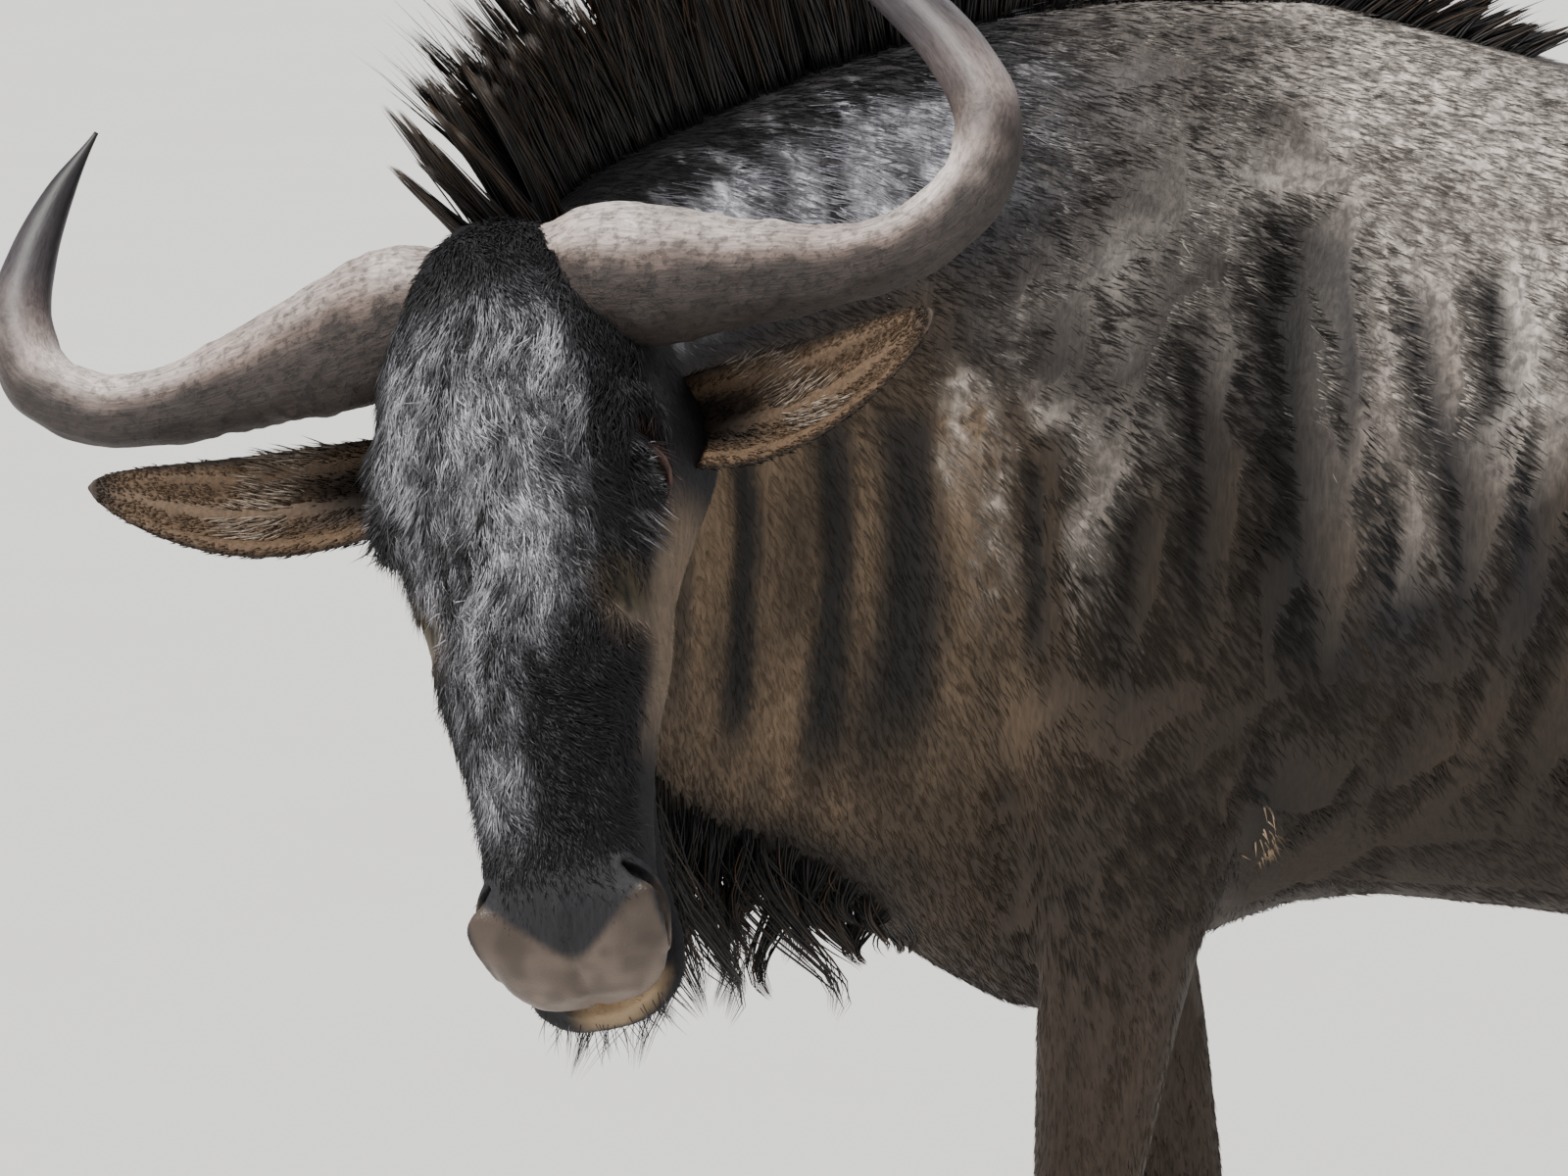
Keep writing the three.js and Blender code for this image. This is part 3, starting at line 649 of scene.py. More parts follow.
# Dark stripes on both sides: x along the middle line and height of points on each, and its
# half width and depth of colour
STRIPES = [
    ([[-506, 1050], [-500, 980], [-474, 850]], 6, 0.75),
    ([[-450, 1090], [-444, 974], [-426, 815]], 11, 1.0),
    ([[-374, 1120], [-366, 997], [-364, 900], [-352, 785]], 15, 1.0),
    ([[-300, 1120], [-300, 1036], [-298, 966], [-301, 894], [-306, 775]], 31, 1.0),
    ([[-186, 1060], [-184, 993], [-186, 890]], 9, 0.9),
    ([[-108, 1040], [-113, 980], [-112, 870]], 10, 0.9),
    ([[-52, 1160], [-58, 1049], [-58, 900]], 9, 0.85),
    ([[-14, 1010], [-18, 940], [-14, 860]], 6, 0.5),
    ([[28, 1250], [22, 1215], [12, 1160], [10, 1103], [12, 1049], [20, 964], [32, 876], [42, 790]], 20, 1.0),
    ([[70, 1240], [62, 1170], [58, 1103], [72, 1020], [94, 934], [108, 830]], 13, 1.0),
    ([[96, 1210], [102, 1150], [110, 1090], [126, 1020], [142, 950], [148, 830]], 10, 1.0),
    ([[160, 1210], [162, 1130], [168, 1068], [181, 991], [190, 850]], 14, 1.0),
    ([[222, 1195], [230, 1080], [242, 960], [250, 850]], 12, 0.85),
    ([[284, 1170], [292, 1040], [304, 900]], 11, 0.65),
    ([[346, 1160], [356, 1030], [366, 900]], 10, 0.45),
    ([[410, 1150], [418, 1030], [426, 920]], 9, 0.3),
]
# Where the forehead's grey hair and its painted sheen are palest: lines down the face (distance
# # down it and out to the left) and their half width
FROST_LINES = [
    ([[56, -4], [140, -10], [240, -10], [330, -22], [420, -32]], 20),
    ([[70, 26], [112, 56], [160, 70], [205, 56], [262, 36]], 13),
    ([[70, -34], [112, -64], [170, -82], [240, -74], [300, -56]], 15),
    ([[150, 24], [230, 26], [300, 14]], 12),
]


def striping(points):
    """How far each point lies in a dark stripe, from 0 to 1, and how deep the fold there is."""
    u, out = trunk_place(points)
    x = between(TRUNK, u)[:, 0]
    wave = 6 * (patches(points * [0.3, 0, 1], 60, 5) - 0.5)
    flat = np.stack([x + wave, points[:, 2]], -1)
    ragged = patches(points, 60, 9)
    dark, fold = np.zeros(len(points)), np.zeros(len(points))
    for line, half, strength in STRIPES:
        away, share = off_line(flat, line)
        width = half * (0.75 + 0.5 * ragged) * (0.95 + 0.3 * share)
        fade = ease(share, -0.01, 0.14) * ease(share, 1.01, 0.75)
        mask = np.exp(-((away / (1.15 * width + 1)) ** 4)) * fade * strength
        dark = np.maximum(dark, mask)
        fold += np.exp(-((away / (1.3 * half + 3)) ** 2)) * fade * strength * ease(share, 1.0, 0.4)
    side = ease(np.abs(out), 40, 90)
    return dark * side, np.clip(fold, 0, 1.2) * side


NAPE_AT = np.array([-14.0, 0, -110])
NAPE_WAY = unit(np.array([-0.4, 0, -0.916]))
# The head lies before the first of these places in x, and its shaped features before the second
HEAD_BEFORE = -360
FACE_BEFORE = -420


def ahead_of_nape(spots):
    """Distance in the head's axes in front of the plane behind the jaw."""
    return -(spots - NAPE_AT) @ NAPE_WAY


def head_share(points, low, high):
    """The head's share of each point: 0 behind the nape, eased to 1 between low and high."""
    return ease(ahead_of_nape(on_head(points)), low, high) * (points[:, 0] < HEAD_BEFORE)


def in_head(points, behind=0):
    """Which points lie in the head, more than the given distance in front of the nape."""
    return (ahead_of_nape(on_head(points)) > behind) & (points[:, 0] < HEAD_BEFORE)


def bare_skin(spots):
    """The pad between the nostrils and the lips, from 0 to 1, and the share of the lower lip."""
    s, t, n = spots.T
    hair_edge = 505 - 0.9 * (np.sqrt((t - 5) ** 2 + 100) - 10)
    pad = ease(s - hair_edge, -4, 5) * ease(n, MOUTH_LINE - 3, MOUTH_LINE + 3)
    pad *= ease(np.abs(t), 68, 62)
    lip = ease(s, 500, 512) * ease(n, MOUTH_LINE + 1, MOUTH_LINE - 2) * ease(n, -57, -50)
    return pad, lip


def callus(x, z):
    """How far a point lies from the bare skin behind the elbow; inside it below 1."""
    return ((x - 6) / 12) ** 2 + ((z - 772) / 23) ** 2


def gland(s, t):
    """How far a point of the face lies from the bare gland before the eye; inside it below 1."""
    return ((s - 264) / 15) ** 2 + ((np.abs(t) - 71) / 8.5) ** 2


def silvering(points, x, high, streak):
    """How thick pale hair is, with a painted sheen of light from above in it: along the back,
    in patches on the shoulder, and less downward.
    """
    z = points[:, 2]
    # pale along the top of the back: partly pale hair, partly a painted highlight from above
    silver = ease(high, 985, 1130) * ease(x, 20, 60)
    for at, height, wide, tall, strength in PALE_PATCHES:
        away = ((x - at) / wide) ** 2 + ((z + 30 * (streak - 0.5) - height) / tall) ** 2
        silver = np.maximum(silver, strength * ease(away, 1.9, 0.5))
    silver = np.maximum(silver, 0.62 * ease(z, 1060, 1200) * ease(x, -250, -170))
    mottle = 0.6 * patches(points * [1, 1, 0.6], 26, 17) + 0.4 * patches(points, 11, 18)
    mottle = ease(mottle, 0.36, 0.6)
    return silver * (1 - 0.85 * (1 - mottle) * ease(x, 60, 0) * ease(x, -300, -240))


def body_tone(points, streak):
    """The colour of the coat behind the head, with painted light above, painted shade below and
    in the armpit, how much pale hair and painted sheen it has, and its share of the black
    fringe below the mane."""
    u, out = trunk_place(points)
    z = points[:, 2]
    row = between(TRUNK, u)
    x, top, bottom = row[:, 0], row[:, 2], row[:, 3]
    broad = patches(points, 150, 1)
    curls = 0.6 * patches(points, 13, 15) + 0.4 * patches(points, 6, 16)
    high = z + 110 * (streak - 0.5) + 60 * (broad - 0.5)
    dark, _ = striping(points)
    silver = silvering(points, x, high, streak) * (1 - 0.95 * dark)

    valley = 0.55 * ease(z, 1000, 1120) * ease(x, 60, 20) * ease(x, -270, -220)
    fore = ease(x, -150, -270) * ease(z, 1140, 1060)
    # grey on top, brown and then darker toward the belly: partly the coat's own colour, partly painted light
    # from above and painted shade below
    tone = blend(COAT["brown"], COAT["grey"], ease(high, 985, 1120) * ease(x, 20, 60))
    for colour, share in (
        (COAT["valley"], valley),
        (COAT["belly"], 0.9 * ease(z + 60 * (broad - 0.5), 900, 740)),
        (COAT["neck"], fore * (0.55 + 0.45 * streak)),
        (COAT["belly"], 0.7 * ease(z, 850, 740) * ease(x, -60, -140)),
        (blend(COAT["stripe"], COAT["valley"], 0.7 * ease(x, 40, 70)), 0.97 * dark),
    ):
        tone = blend(tone, colour, share)
    tone = tone * (0.7 + 0.6 * streak)[:, None]

    # the sides of the neck below the mane carry black hair, with a painted silver sheen on it
    fringe = ease(top - z, 190, 130) * ease(x, -90, -190)
    strands = patches(points * [1, 1, 0.2], 9, 19)
    sheen = ease(top - z + 50 * (strands - 0.5), 30, 54) * ease(top - z, 138, 100) * fringe
    silver = np.maximum(silver * (1 - fringe), sheen)
    bearded = ease(x, -225, -280) * ease(z - bottom, 55, 15)
    limb = ease(z, 780, 600) * (np.abs(points[:, 1]) > 40)
    # painted shade in the armpit above the elbow
    armpit_shade = ((x - 4) / 22) ** 2 + ((z - 816) / 40) ** 2
    for colour, share in (
        (COAT["face"], 0.9 * fringe),
        (COAT["frost_and_sheen"], 0.35 * sheen * ease(streak, 0.3, 0.7)),
        (COAT["silver"], 0.35 * silver * (1 - fringe) * ease(curls, 0.3, 0.65)),
        (COAT["black"], 0.9 * bearded),
        (COAT["leg"] * (0.85 + 0.3 * streak)[:, None], limb),
        (COAT["black"], ease(points[:, 0], 1015, 1045)),
        (COAT["stripe"], 0.7 * ease(armpit_shade, 1.4, 0.5)),
        (COAT["callus"], ease(callus(x, z), 1.1, 0.7) * (np.abs(out) > 90)),
    ):
        tone = blend(tone, colour, share)
    return tone, silver * (1 - limb), fringe


def face_tone(points, spots):
    """The colour of the head's hair, how much grey hair and painted sheen it has, and the grain
    of its curls.
    """
    s, t, n = spots.T
    from_gland = gland(s, t)
    gland_edge = 0.8 * ease(from_gland, 1.3, 0.8) * ease(np.abs(np.abs(t) - 70), 2.6, 1.2)
    front = np.maximum(ease(n, -14, 12), np.maximum(ease(s, 320, 390), ease(s, 222, 180)))
    face = blend(COAT["cheek"], COAT["face"], front)
    for colour, share in (
        (COAT["black"], ease(n, -80, -112)),
        (COAT["cheek"], 0.5 * ease(np.abs(t), 50, 62) * ease(s, 240, 270) * ease(s, 310, 280)),
        (COAT["gland"], ease(from_gland, 1.6, 0.7)),
        (COAT["stripe"], gland_edge),
    ):
        face = blend(face, colour, share)
    # grey hair with painted sheen, palest on the face's right side, where the light falls
    frost_and_sheen = ease(n, 18, 40) * ease(s, 30, 125) * ease(s + 1.2 * np.maximum(t, 0), 350, 240)
    frost_and_sheen *= ease(np.abs(t + 14), 86, 60)
    arcs = np.zeros(len(s))
    for line, wide in FROST_LINES:
        away, _ = off_line(spots[:, :2], line)
        arcs = np.maximum(arcs, np.exp(-((away / wide) ** 2)))
    frost_and_sheen *= 0.45 + 0.65 * arcs
    streaks = ease(n, 12, 30) * ease(s, 60, 110) * ease(s, 450, 400) * ease(np.abs(t + 34), 36, 10)
    frost_and_sheen = np.maximum(frost_and_sheen, 0.6 * streaks)
    curl = 0.5 * patches(points * [1, 1, 0.6], 15, 11) + 0.5 * patches(points * [1, 1, 0.5], 7, 12)
    curl = ease(curl, 0.28, 0.68)
    return blend(face, COAT["frost_and_sheen"], 0.3 * frost_and_sheen * curl), frost_and_sheen, curl


def coat_tone(points):
    """The colour of the hair at each point, how much pale fleck and painted sheen it carries, its
    bareness, and how cool the pale hair is."""
    streak = patches(points * [1, 1, 0.22], 20, 4)
    tone, silver, fringe = body_tone(points, streak)
    head = head_share(points, -22, 22)
    spots = on_head(points)
    face, frost_and_sheen, curl = face_tone(points, spots)
    tone = blend(tone, face, head)
    silver = silver * (1 - head) + head * frost_and_sheen * (0.35 + 0.75 * curl)

    pad, lip = bare_skin(spots)
    s, t, _ = spots.T
    blotch = ease(0.5 * patches(points, 22, 61) + 0.5 * patches(points, 9, 62), 0.3, 0.7)
    wet = COAT["pad"] * ((0.6 + 0.6 * ease(s, 470, 522)) * (0.72 + 0.5 * blotch))[:, None]
    tone = blend(tone, wet, head * pad)
    tone = blend(tone, blend(COAT["face"], COAT["lip"], ease(t, -30, -4)), head * lip)
    for side in SIDES.values():
        x, y, z = eye_place(spots, side)
        rim = np.exp(-((np.hypot(x / 2.3, y) - 11) ** 2) / 10.0) * (z > 0)
        tone = blend(tone, COAT["lid"], 0.8 * rim * ease(y, 6, -4))
    bare = head * np.maximum(pad, lip)
    tone = tone * (0.86 + 0.28 * patches(points, 34, 2))[:, None]
    return np.clip(tone, 0, 1), silver * (1 - bare), bare, np.maximum(head, fringe)


# The hide's relief


def eye_axes(side):
    """An eye's middle, and the ways along its corners, up to the brow and out of it."""
    out = unit(np.array([EYE_LOOK[0], side * EYE_LOOK[1], EYE_LOOK[2]]))
    length = np.array([1.0, 0, -0.35])
    length = unit(length - out * (out @ length))
    up = np.cross(length, out) * side
    centre = np.array([EYE_PLACE[0], side * EYE_PLACE[1], EYE_PLACE[2]], float)
    return centre, length, up, out


def eye_place(spots, side):
    """Points in an eye's own axes: along its corners, up to the brow and out of it."""
    centre, length, up, out = eye_axes(side)
    rest = spots - centre
    return rest @ length, rest @ up, rest @ out


# Muscle and bone under the hide on each side: x, distance out, height, three reaches, rise
MUSCLES = [
    [-95, 175, 1060, 80, 200, 130, 7],
    [-70, 180, 860, 70, 200, 80, 8],
    [70, 200, 1110, 38, 200, 160, 6],
    [30, 160, 800, 34, 120, 30, 9],
    [-150, 120, 790, 30, 100, 60, -7],
    [565, 200, 1100, 60, 200, 52, -11],
    [640, 170, 1160, 38, 120, 26, 9],
    [800, 190, 1060, 100, 200, 110, 8],
    [930, 110, 1130, 34, 90, 30, 7],
    [700, 190, 860, 60, 200, 60, 6],
    [-20, 60, 1320, 60, 60, 40, 4],
]
# Folds and grooves of the body: x along the middle line and height of their points, reach, depth
GROOVES = [
    ([[690, 960], [700, 850], [735, 750]], 24, 8),
    ([[945, 1040], [925, 920], [895, 800]], 20, 6),
    ([[-30, 1290], [-90, 1120], [-120, 960]], 30, -4),
    ([[60, 800], [30, 745], [-10, 720]], 12, 6),
    ([[-330, 1250], [-260, 1120], [-215, 980]], 22, 3),
    ([[-215, 830], [-190, 760], [-180, 700]], 14, 5),
]
# The face's relief on both sides: distance down the face, out, forward, three reaches, rise
FEATURES = [
    [168, 96, 40, 26, 22, 14, 4],
    [118, 92, 26, 24, 26, 22, -4],
    [263, 66, 24, 12, 12, 12, -5],
    [248, 74, 20, 16, 16, 16, 3],
    [222, 90, -16, 34, 30, 12, 4],
    [280, 84, -26, 50, 30, 12, 3.5],
    [330, 66, -44, 50, 26, 18, -4],
    [262, 74, -104, 34, 40, 40, -4],
    [120, 20, 70, 60, 26, 20, -2],
    [470, 60, 18, 13, 12, 12, 4],
    [512, 26, 6, 16, 22, 16, 2],
    [448, 40, 30, 18, 18, 14, -2],
    [518, 44, -66, 26, 30, 14, -6],
]


def body_relief(points, normals):
    """How far muscles, ribs and folds lift the hide off its plain form."""
    u, out = trunk_place(points)
    x = between(TRUNK, u)[:, 0]
    z = points[:, 2]
    local = np.stack([x, np.abs(out), z], -1)
    side = ease(np.abs(normals[:, 2]), 0.95, 0.5)
    rise = hills(local, MUSCLES) * side
    flat = np.stack([x, z], -1)
    for line, reach, depth in GROOVES:
        away, share = off_line(flat, line)
        fade = ease(share, -0.01, 0.2) * ease(share, 1.01, 0.8)
        rise -= depth * np.exp(-((away / reach) ** 2)) * fade * side
    _, fold = striping(points)
    deep = 5 + 7 * ease(x, -30, 0) * ease(x, 60, 40) * ease(z, 860, 960)
    rise -= fold * deep * side
    crumpled = ease(x, -230, -180) * ease(x, 60, 0) * ease(z, 830, 1000) * ease(z, 1240, 1160)
    lumps = 0.6 * patches(points * [1, 1, 0.35], 30, 23) + 0.4 * patches(points * [1, 1, 0.7], 14, 24)
    rise += 8.0 * crumpled * side * (lumps - 0.5)
    ribs = 0.5 + 0.5 * np.cos(2 * math.pi * (x - 0.22 * (z - 950)) / 46)
    ribs = 3.0 * ribs * side * ease(x, 100, 180) * ease(x, 520, 420)
    rise += ribs * ease(z, 1180, 1100) * ease(z, 760, 840)
    neck = ease(x, -190, -260) * ease(z, 840, 900)
    rise += 2.4 * neck * side * (patches(points * [1, 1, 0.25], 34, 21) - 0.5)
    rise += 3.0 * (patches(points, 90, 22) - 0.5)
    return rise * ease(z, 560, 700)


def leg_relief(points):
    """Tendons, knees, hocks and the hollow between the two toes' bones."""
    rise = np.zeros(len(points))
    for leg, (stations, _, _) in LEGS.items():
        x, y, deep, wide = leg_place(points, leg)
        along, across = (points[:, 0] - x) / deep, (points[:, 1] - y) / wide
        near = (np.abs(along) < 1.6) & (np.abs(across) < 1.7) & (points[:, 2] < 700)
        z = points[:, 2]
        cannon = ease(z, 110, 160) * ease(z, 380, 320)
        if stations is HINDLEG:
            cannon = ease(z, 110, 160) * ease(z, 460, 380)
        rise -= near * 4.0 * cannon * np.exp(-(((along - 0.28) / 0.22) ** 2)) * (np.abs(across) > 0.4)
        joint = KNEE if stations is FORELEG else HOCK
        rise += near * 3.0 * np.exp(-(((z - joint) / 26) ** 2)) * ease(-along, 0.1, 0.8)
        rise -= near * 3.0 * np.exp(-(((z - joint - 45) / 18) ** 2)) * ease(np.abs(across), 0.4, 0.9)
        upper = ease(z, joint + 50, joint + 110) * ease(z, 690, 640)
        line = np.exp(-(((along - 0.25 + 0.2 * (z - joint) / 250) / 0.16) ** 2))
        rise -= near * 3.2 * upper * line * (np.abs(across) > 0.35)
        cleft = np.exp(-((across / 0.2) ** 2)) * ease(-along, 0.3, 0.8) * ease(z, 100, 70)
        rise -= near * 5.0 * cleft
    return rise


def head_relief(spots):
    """How far bones, folds and lips lift the face off its plain form."""
    mirrored = spots.copy()
    mirrored[:, 1] = np.abs(mirrored[:, 1])
    rise = hills(mirrored, FEATURES)
    s, _, n = spots.T
    # grooves round the jaw muscle and below the cheekbone
    for line, reach, depth in (
        ([[178, 96, -112], [250, 74, -112], [292, 60, -96]], 11, 4),
        ([[238, 92, -44], [320, 78, -50], [400, 58, -46]], 12, 3),
        ([[430, 60, -34], [452, 62, -26], [470, 64, -12]], 8, 2.5),
    ):
        away, share = off_line(mirrored, line)
        rise -= depth * np.exp(-((away / reach) ** 2)) * ease(share, 0, 0.15) * ease(share, 1, 0.85)
    # the philtrum, and the lips either side of the mouth
    away, _ = off_line(spots, [[498, 0, 22], [522, 0, -6], [530, 0, -40]])
    rise -= 2.5 * np.exp(-((away / 4) ** 2))
    lips = ease(s, 392, 440)
    rise += 2.2 * lips * np.exp(-(((n - MOUTH_LINE - 10) / 7) ** 2))
    rise += 2.8 * lips * np.exp(-(((n - MOUTH_LINE + 11) / 7) ** 2))
    return rise


def shape_eyes(spots):
    """Draws the hide over each eyeball as two lids, with an open almond between them."""
    for side in SIDES.values():
        x, y, z = eye_place(spots, side)
        near = (np.hypot(x, y) < 64) & (z > -24)
        x, y, z = x[near], y[near], z[near]
        wide, tall = 24.0, 9.0
        almond = ((np.abs(x) / wide) ** 1.7 + (np.abs(y - 1.0 + 0.003 * x * x) / tall) ** 1.7) ** (1 / 1.7)
        flat = np.hypot(x, y)
        globe = np.sqrt(np.maximum(EYE_RADIUS**2 - flat**2, 0))
        over = np.sqrt(np.maximum((EYE_RADIUS + 3.4) ** 2 - flat**2, 16.0))
        rim = 1.6 * np.exp(-(((almond - 1.18) / 0.13) ** 2))
        crease = 1.8 * np.exp(-(((almond - 1.75) / 0.16) ** 2))
        second = 1.2 * np.exp(-(((almond - 2.3) / 0.18) ** 2)) * (y < 0)
        lid = over + rim - crease - second
        share = ease(almond, 2.9, 1.35)
        drawn = z * (1 - share) + lid * share
        inside = ease(almond, 1.06, 0.94)
        drawn = drawn * (1 - inside) + np.minimum(globe - 7, drawn) * inside
        centre, length, up, out = eye_axes(side)
        spots[near] = centre + x[:, None] * length + y[:, None] * up + drawn[:, None] * out
    return spots


NOSTRIL = [[450, 47, 17], [462, 58, 12], [480, 66, 0], [497, 63, -15]]


def shape_nostrils(spots):
    """Sinks a deep slit that widens in its middle into each side of the nose, with a soft rim."""
    for side in SIDES.values():
        line = np.array(NOSTRIL) * [1, side, 1]
        away, share = off_line(spots, curve(line, np.linspace(0, 1, 14)))
        half = 2.5 + 5.0 * np.sin(math.pi * np.clip(share, 0.02, 0.98))
        inward = unit(np.array([-0.35, -side * 0.85, -0.25]))
        sink = 16 * ease(away / half, 1.15, 0.45)
        rim = 2.6 * np.exp(-(((away - half - 3.5) / 3.2) ** 2))
        spots = spots + (sink - rim)[:, None] * inward
    return spots


def shape_mouth(spots, normals):
    """A narrow deep line where the lips meet."""
    s, _, n = spots.T
    depth = 9 * np.exp(-((np.abs(n - MOUTH_LINE) / 2.1) ** 2)) * ease(s, 396, 420)
    return spots - normals * depth[:, None]


def refine(mesh, zones):
    """Splits once the edges that start in the given balls: centres and radius in millimetres."""
    ends = np.empty(len(mesh.edges) * 2, np.int32)
    mesh.edges.foreach_get("vertices", ends)
    points = unplaced(mesh_points(mesh))[ends[::2]]
    near = np.zeros(len(points), bool)
    for centres, radius in zones:
        for centre in centres:
            near |= np.sum((points - centre) ** 2, axis=1) < radius**2
    bm = bmesh.new()
    bm.from_mesh(mesh)
    bm.edges.ensure_lookup_table()
    chosen = [bm.edges[k] for k in np.nonzero(near)[0]]
    bmesh.ops.subdivide_edges(bm, edges=chosen, cuts=1, use_grid_fill=True)
    bmesh.ops.triangulate(bm, faces=[face for face in bm.faces if len(face.verts) > 4])
    bm.to_mesh(mesh)
    bm.free()


# Materials


def set_node(tree, node, links, values):
    """Sets a node's options and input values by name, and links its inputs. A node given as a
    source stands for its first output."""
    for key, value in values.items():
        if hasattr(node, key):
            setattr(node, key, value)
        else:
            node.inputs[key.replace("_", " ")].default_value = value
    for key, source in links.items():
        socket = source.outputs[0] if isinstance(source, bpy.types.Node) else source
        tree.links.new(socket, node.inputs[key])
    return node


def add_node(tree, kind, links=None, **values):
    """Adds a node with its settings and links."""
    return set_node(tree, tree.nodes.new("ShaderNode" + kind), links or {}, values)


def levels(low, high, start, end):
    """Settings that turn low to high of a pattern into start to end."""
    return {"From_Min": low, "From_Max": high, "To_Min": start, "To_Max": end}


def new_material(name):
    """A node material with only its shader and output."""
    material = bpy.data.materials.new(name)
    material.use_nodes = True
    tree = material.node_tree
    return material, tree, tree.nodes["Principled BSDF"]


def toned(tree, shade):
    """The colour that each point has, darker and paler by a pattern."""
    tone = add_node(tree, "Attribute", attribute_name="tone")
    return add_node(tree, "VectorMath", {0: tone, "Scale": shade}, operation="SCALE")


def hide_material(name):
    """Short hair lying on hide: streaks along the lie of the coat, pale flecks where it is silvered
    and carries painted sheen, and bare damp leather where the skin shows."""
    material, tree, shader = new_material(name)
    marks = add_node(tree, "Attribute", attribute_name="marks")
    split = add_node(tree, "SeparateColor", {"Color": marks})
    silver, bare = split.outputs["Red"], split.outputs["Green"]
    place = add_node(tree, "TexCoord").outputs["Object"]
    along = add_node(tree, "Mapping", {"Vector": place}, Scale=(1.0, 1.0, 0.22))
    # a hair is drawn 3 mm wide, coarser than it is, so that it shows
    hairs = add_node(tree, "TexNoise", {"Vector": along}, Scale=1000 / 3.0, Detail=3.0, Roughness=0.6)
    shade = add_node(tree, "MapRange", {"Value": hairs}, **levels(0.3, 0.7, 0.7, 1.3))
    even = add_node(tree, "Mix", {"Factor": bare, "A": shade}, B=1.0)
    clumps = add_node(
        tree, "TexNoise", {"Vector": place}, Scale=1000 / 9.0, Detail=3.0, Roughness=0.6, Distortion=0.6
    )
    edge = add_node(tree, "MapRange", {"Value": clumps}, **levels(0.42, 0.66, -0.25, 1.5))
    fleck = add_node(tree, "Math", {0: edge, 1: silver}, operation="MULTIPLY")
    paler = add_node(tree, "Math", {0: even, 1: fleck}, operation="ADD")
    # the leather's grains are 1.8 mm wide
    grains = add_node(tree, "TexVoronoi", {"Vector": place}, Scale=1000 / 1.8)
    pores = add_node(tree, "MapRange", {"Value": grains}, To_Min=0.4, To_Max=0.6)
    height = add_node(tree, "Mix", {"Factor": bare, "A": hairs, "B": pores})
    bump = add_node(tree, "Bump", {"Height": height}, Strength=0.75, Distance=1.2 / 1000)
    dull = add_node(tree, "MapRange", {"Value": bare}, To_Min=0.66, To_Max=0.4)
    links = {"Base Color": toned(tree, paler), "Normal": bump, "Roughness": dull}
    set_node(tree, shader, links, {"Specular_IOR_Level": 0.3})
    return material


def strand_material(name, rough, grain_mm=9.0, stretch=(1.0, 1.0, 0.2)):
    """Hair: its own colour from root to tip, in fine streaks, with a dull gloss along it."""
    material, tree, shader = new_material(name)
    place = add_node(tree, "TexCoord").outputs["Object"]
    along = add_node(tree, "Mapping", {"Vector": place}, Scale=stretch)
    streaks = add_node(tree, "TexNoise", {"Vector": along}, Scale=1000 / grain_mm, Detail=2.0)
    shade = add_node(tree, "MapRange", {"Value": streaks}, **levels(0.3, 0.7, 0.7, 1.35))
    gloss = {"Roughness": rough, "Specular_IOR_Level": 0.3}
    set_node(tree, shader, {"Base Color": toned(tree, shade)}, gloss)
    return material


def horn_material(name):
    """Weathered keratin: dull, flaked and pitted at the boss, polished and dark toward the tip."""
    material, tree, shader = new_material(name)
    flow = add_node(tree, "Attribute", attribute_name="flow").outputs["Vector"]
    marks = add_node(tree, "Attribute", attribute_name="marks")
    smooth = add_node(tree, "SeparateColor", {"Color": marks})
    place = add_node(tree, "TexCoord").outputs["Object"]
    flakes = add_node(tree, "TexNoise", {"Vector": flow}, Scale=1.0, Detail=5.0, Roughness=0.7)
    grain = add_node(tree, "TexNoise", {"Vector": place}, Scale=1000 / 7.0, Detail=5.0, Roughness=0.65)
    blotch = add_node(tree, "TexNoise", {"Vector": place}, Scale=1000 / 45.0, Detail=4.0)
    flaked = add_node(tree, "MapRange", {"Value": flakes}, **levels(0.34, 0.62, 0.5, 1.25))
    pitted = add_node(tree, "MapRange", {"Value": grain}, **levels(0.5, 0.64, 1.08, 0.5))
    spots = add_node(tree, "Mix", {"Factor": smooth, "A": pitted}, B=1.0)
    shade = add_node(tree, "Math", {0: flaked, 1: spots}, operation="MULTIPLY")
    wide = add_node(tree, "MapRange", {"Value": blotch}, **levels(0.3, 0.7, 0.8, 1.2))
    shade = add_node(tree, "Math", {0: shade, 1: wide}, operation="MULTIPLY")
    lumps = add_node(tree, "Math", {0: grain, 1: flakes}, operation="ADD")
    height = add_node(tree, "Math", {0: lumps, 1: pitted}, operation="ADD")
    depth = add_node(tree, "MapRange", {"Value": smooth}, To_Min=1.0, To_Max=0.12)
    bump = add_node(tree, "Bump", {"Height": height, "Strength": depth}, Distance=0.0014)
    dull = add_node(tree, "MapRange", {"Value": smooth}, To_Min=0.66, To_Max=0.5)
    set_node(tree, shader, {"Base Color": toned(tree, shade), "Normal": bump, "Roughness": dull}, {})
    return material


def hoof_material(name):
    """Dark horn of a claw: level growth ridges and fine streaks, with a satin gloss."""
    material, tree, shader = new_material(name)
    flow = add_node(tree, "Attribute", attribute_name="flow").outputs["Vector"]
    streaks = add_node(tree, "TexNoise", {"Vector": flow}, Scale=1.0, Detail=5.0, Roughness=0.7)
    shade = add_node(tree, "MapRange", {"Value": streaks}, **levels(0.34, 0.62, 0.6, 1.25))
    bump = add_node(tree, "Bump", {"Height": streaks}, Strength=0.6, Distance=0.0012)
    set_node(tree, shader, {"Base Color": toned(tree, shade), "Normal": bump}, {"Roughness": 0.5})
    return material


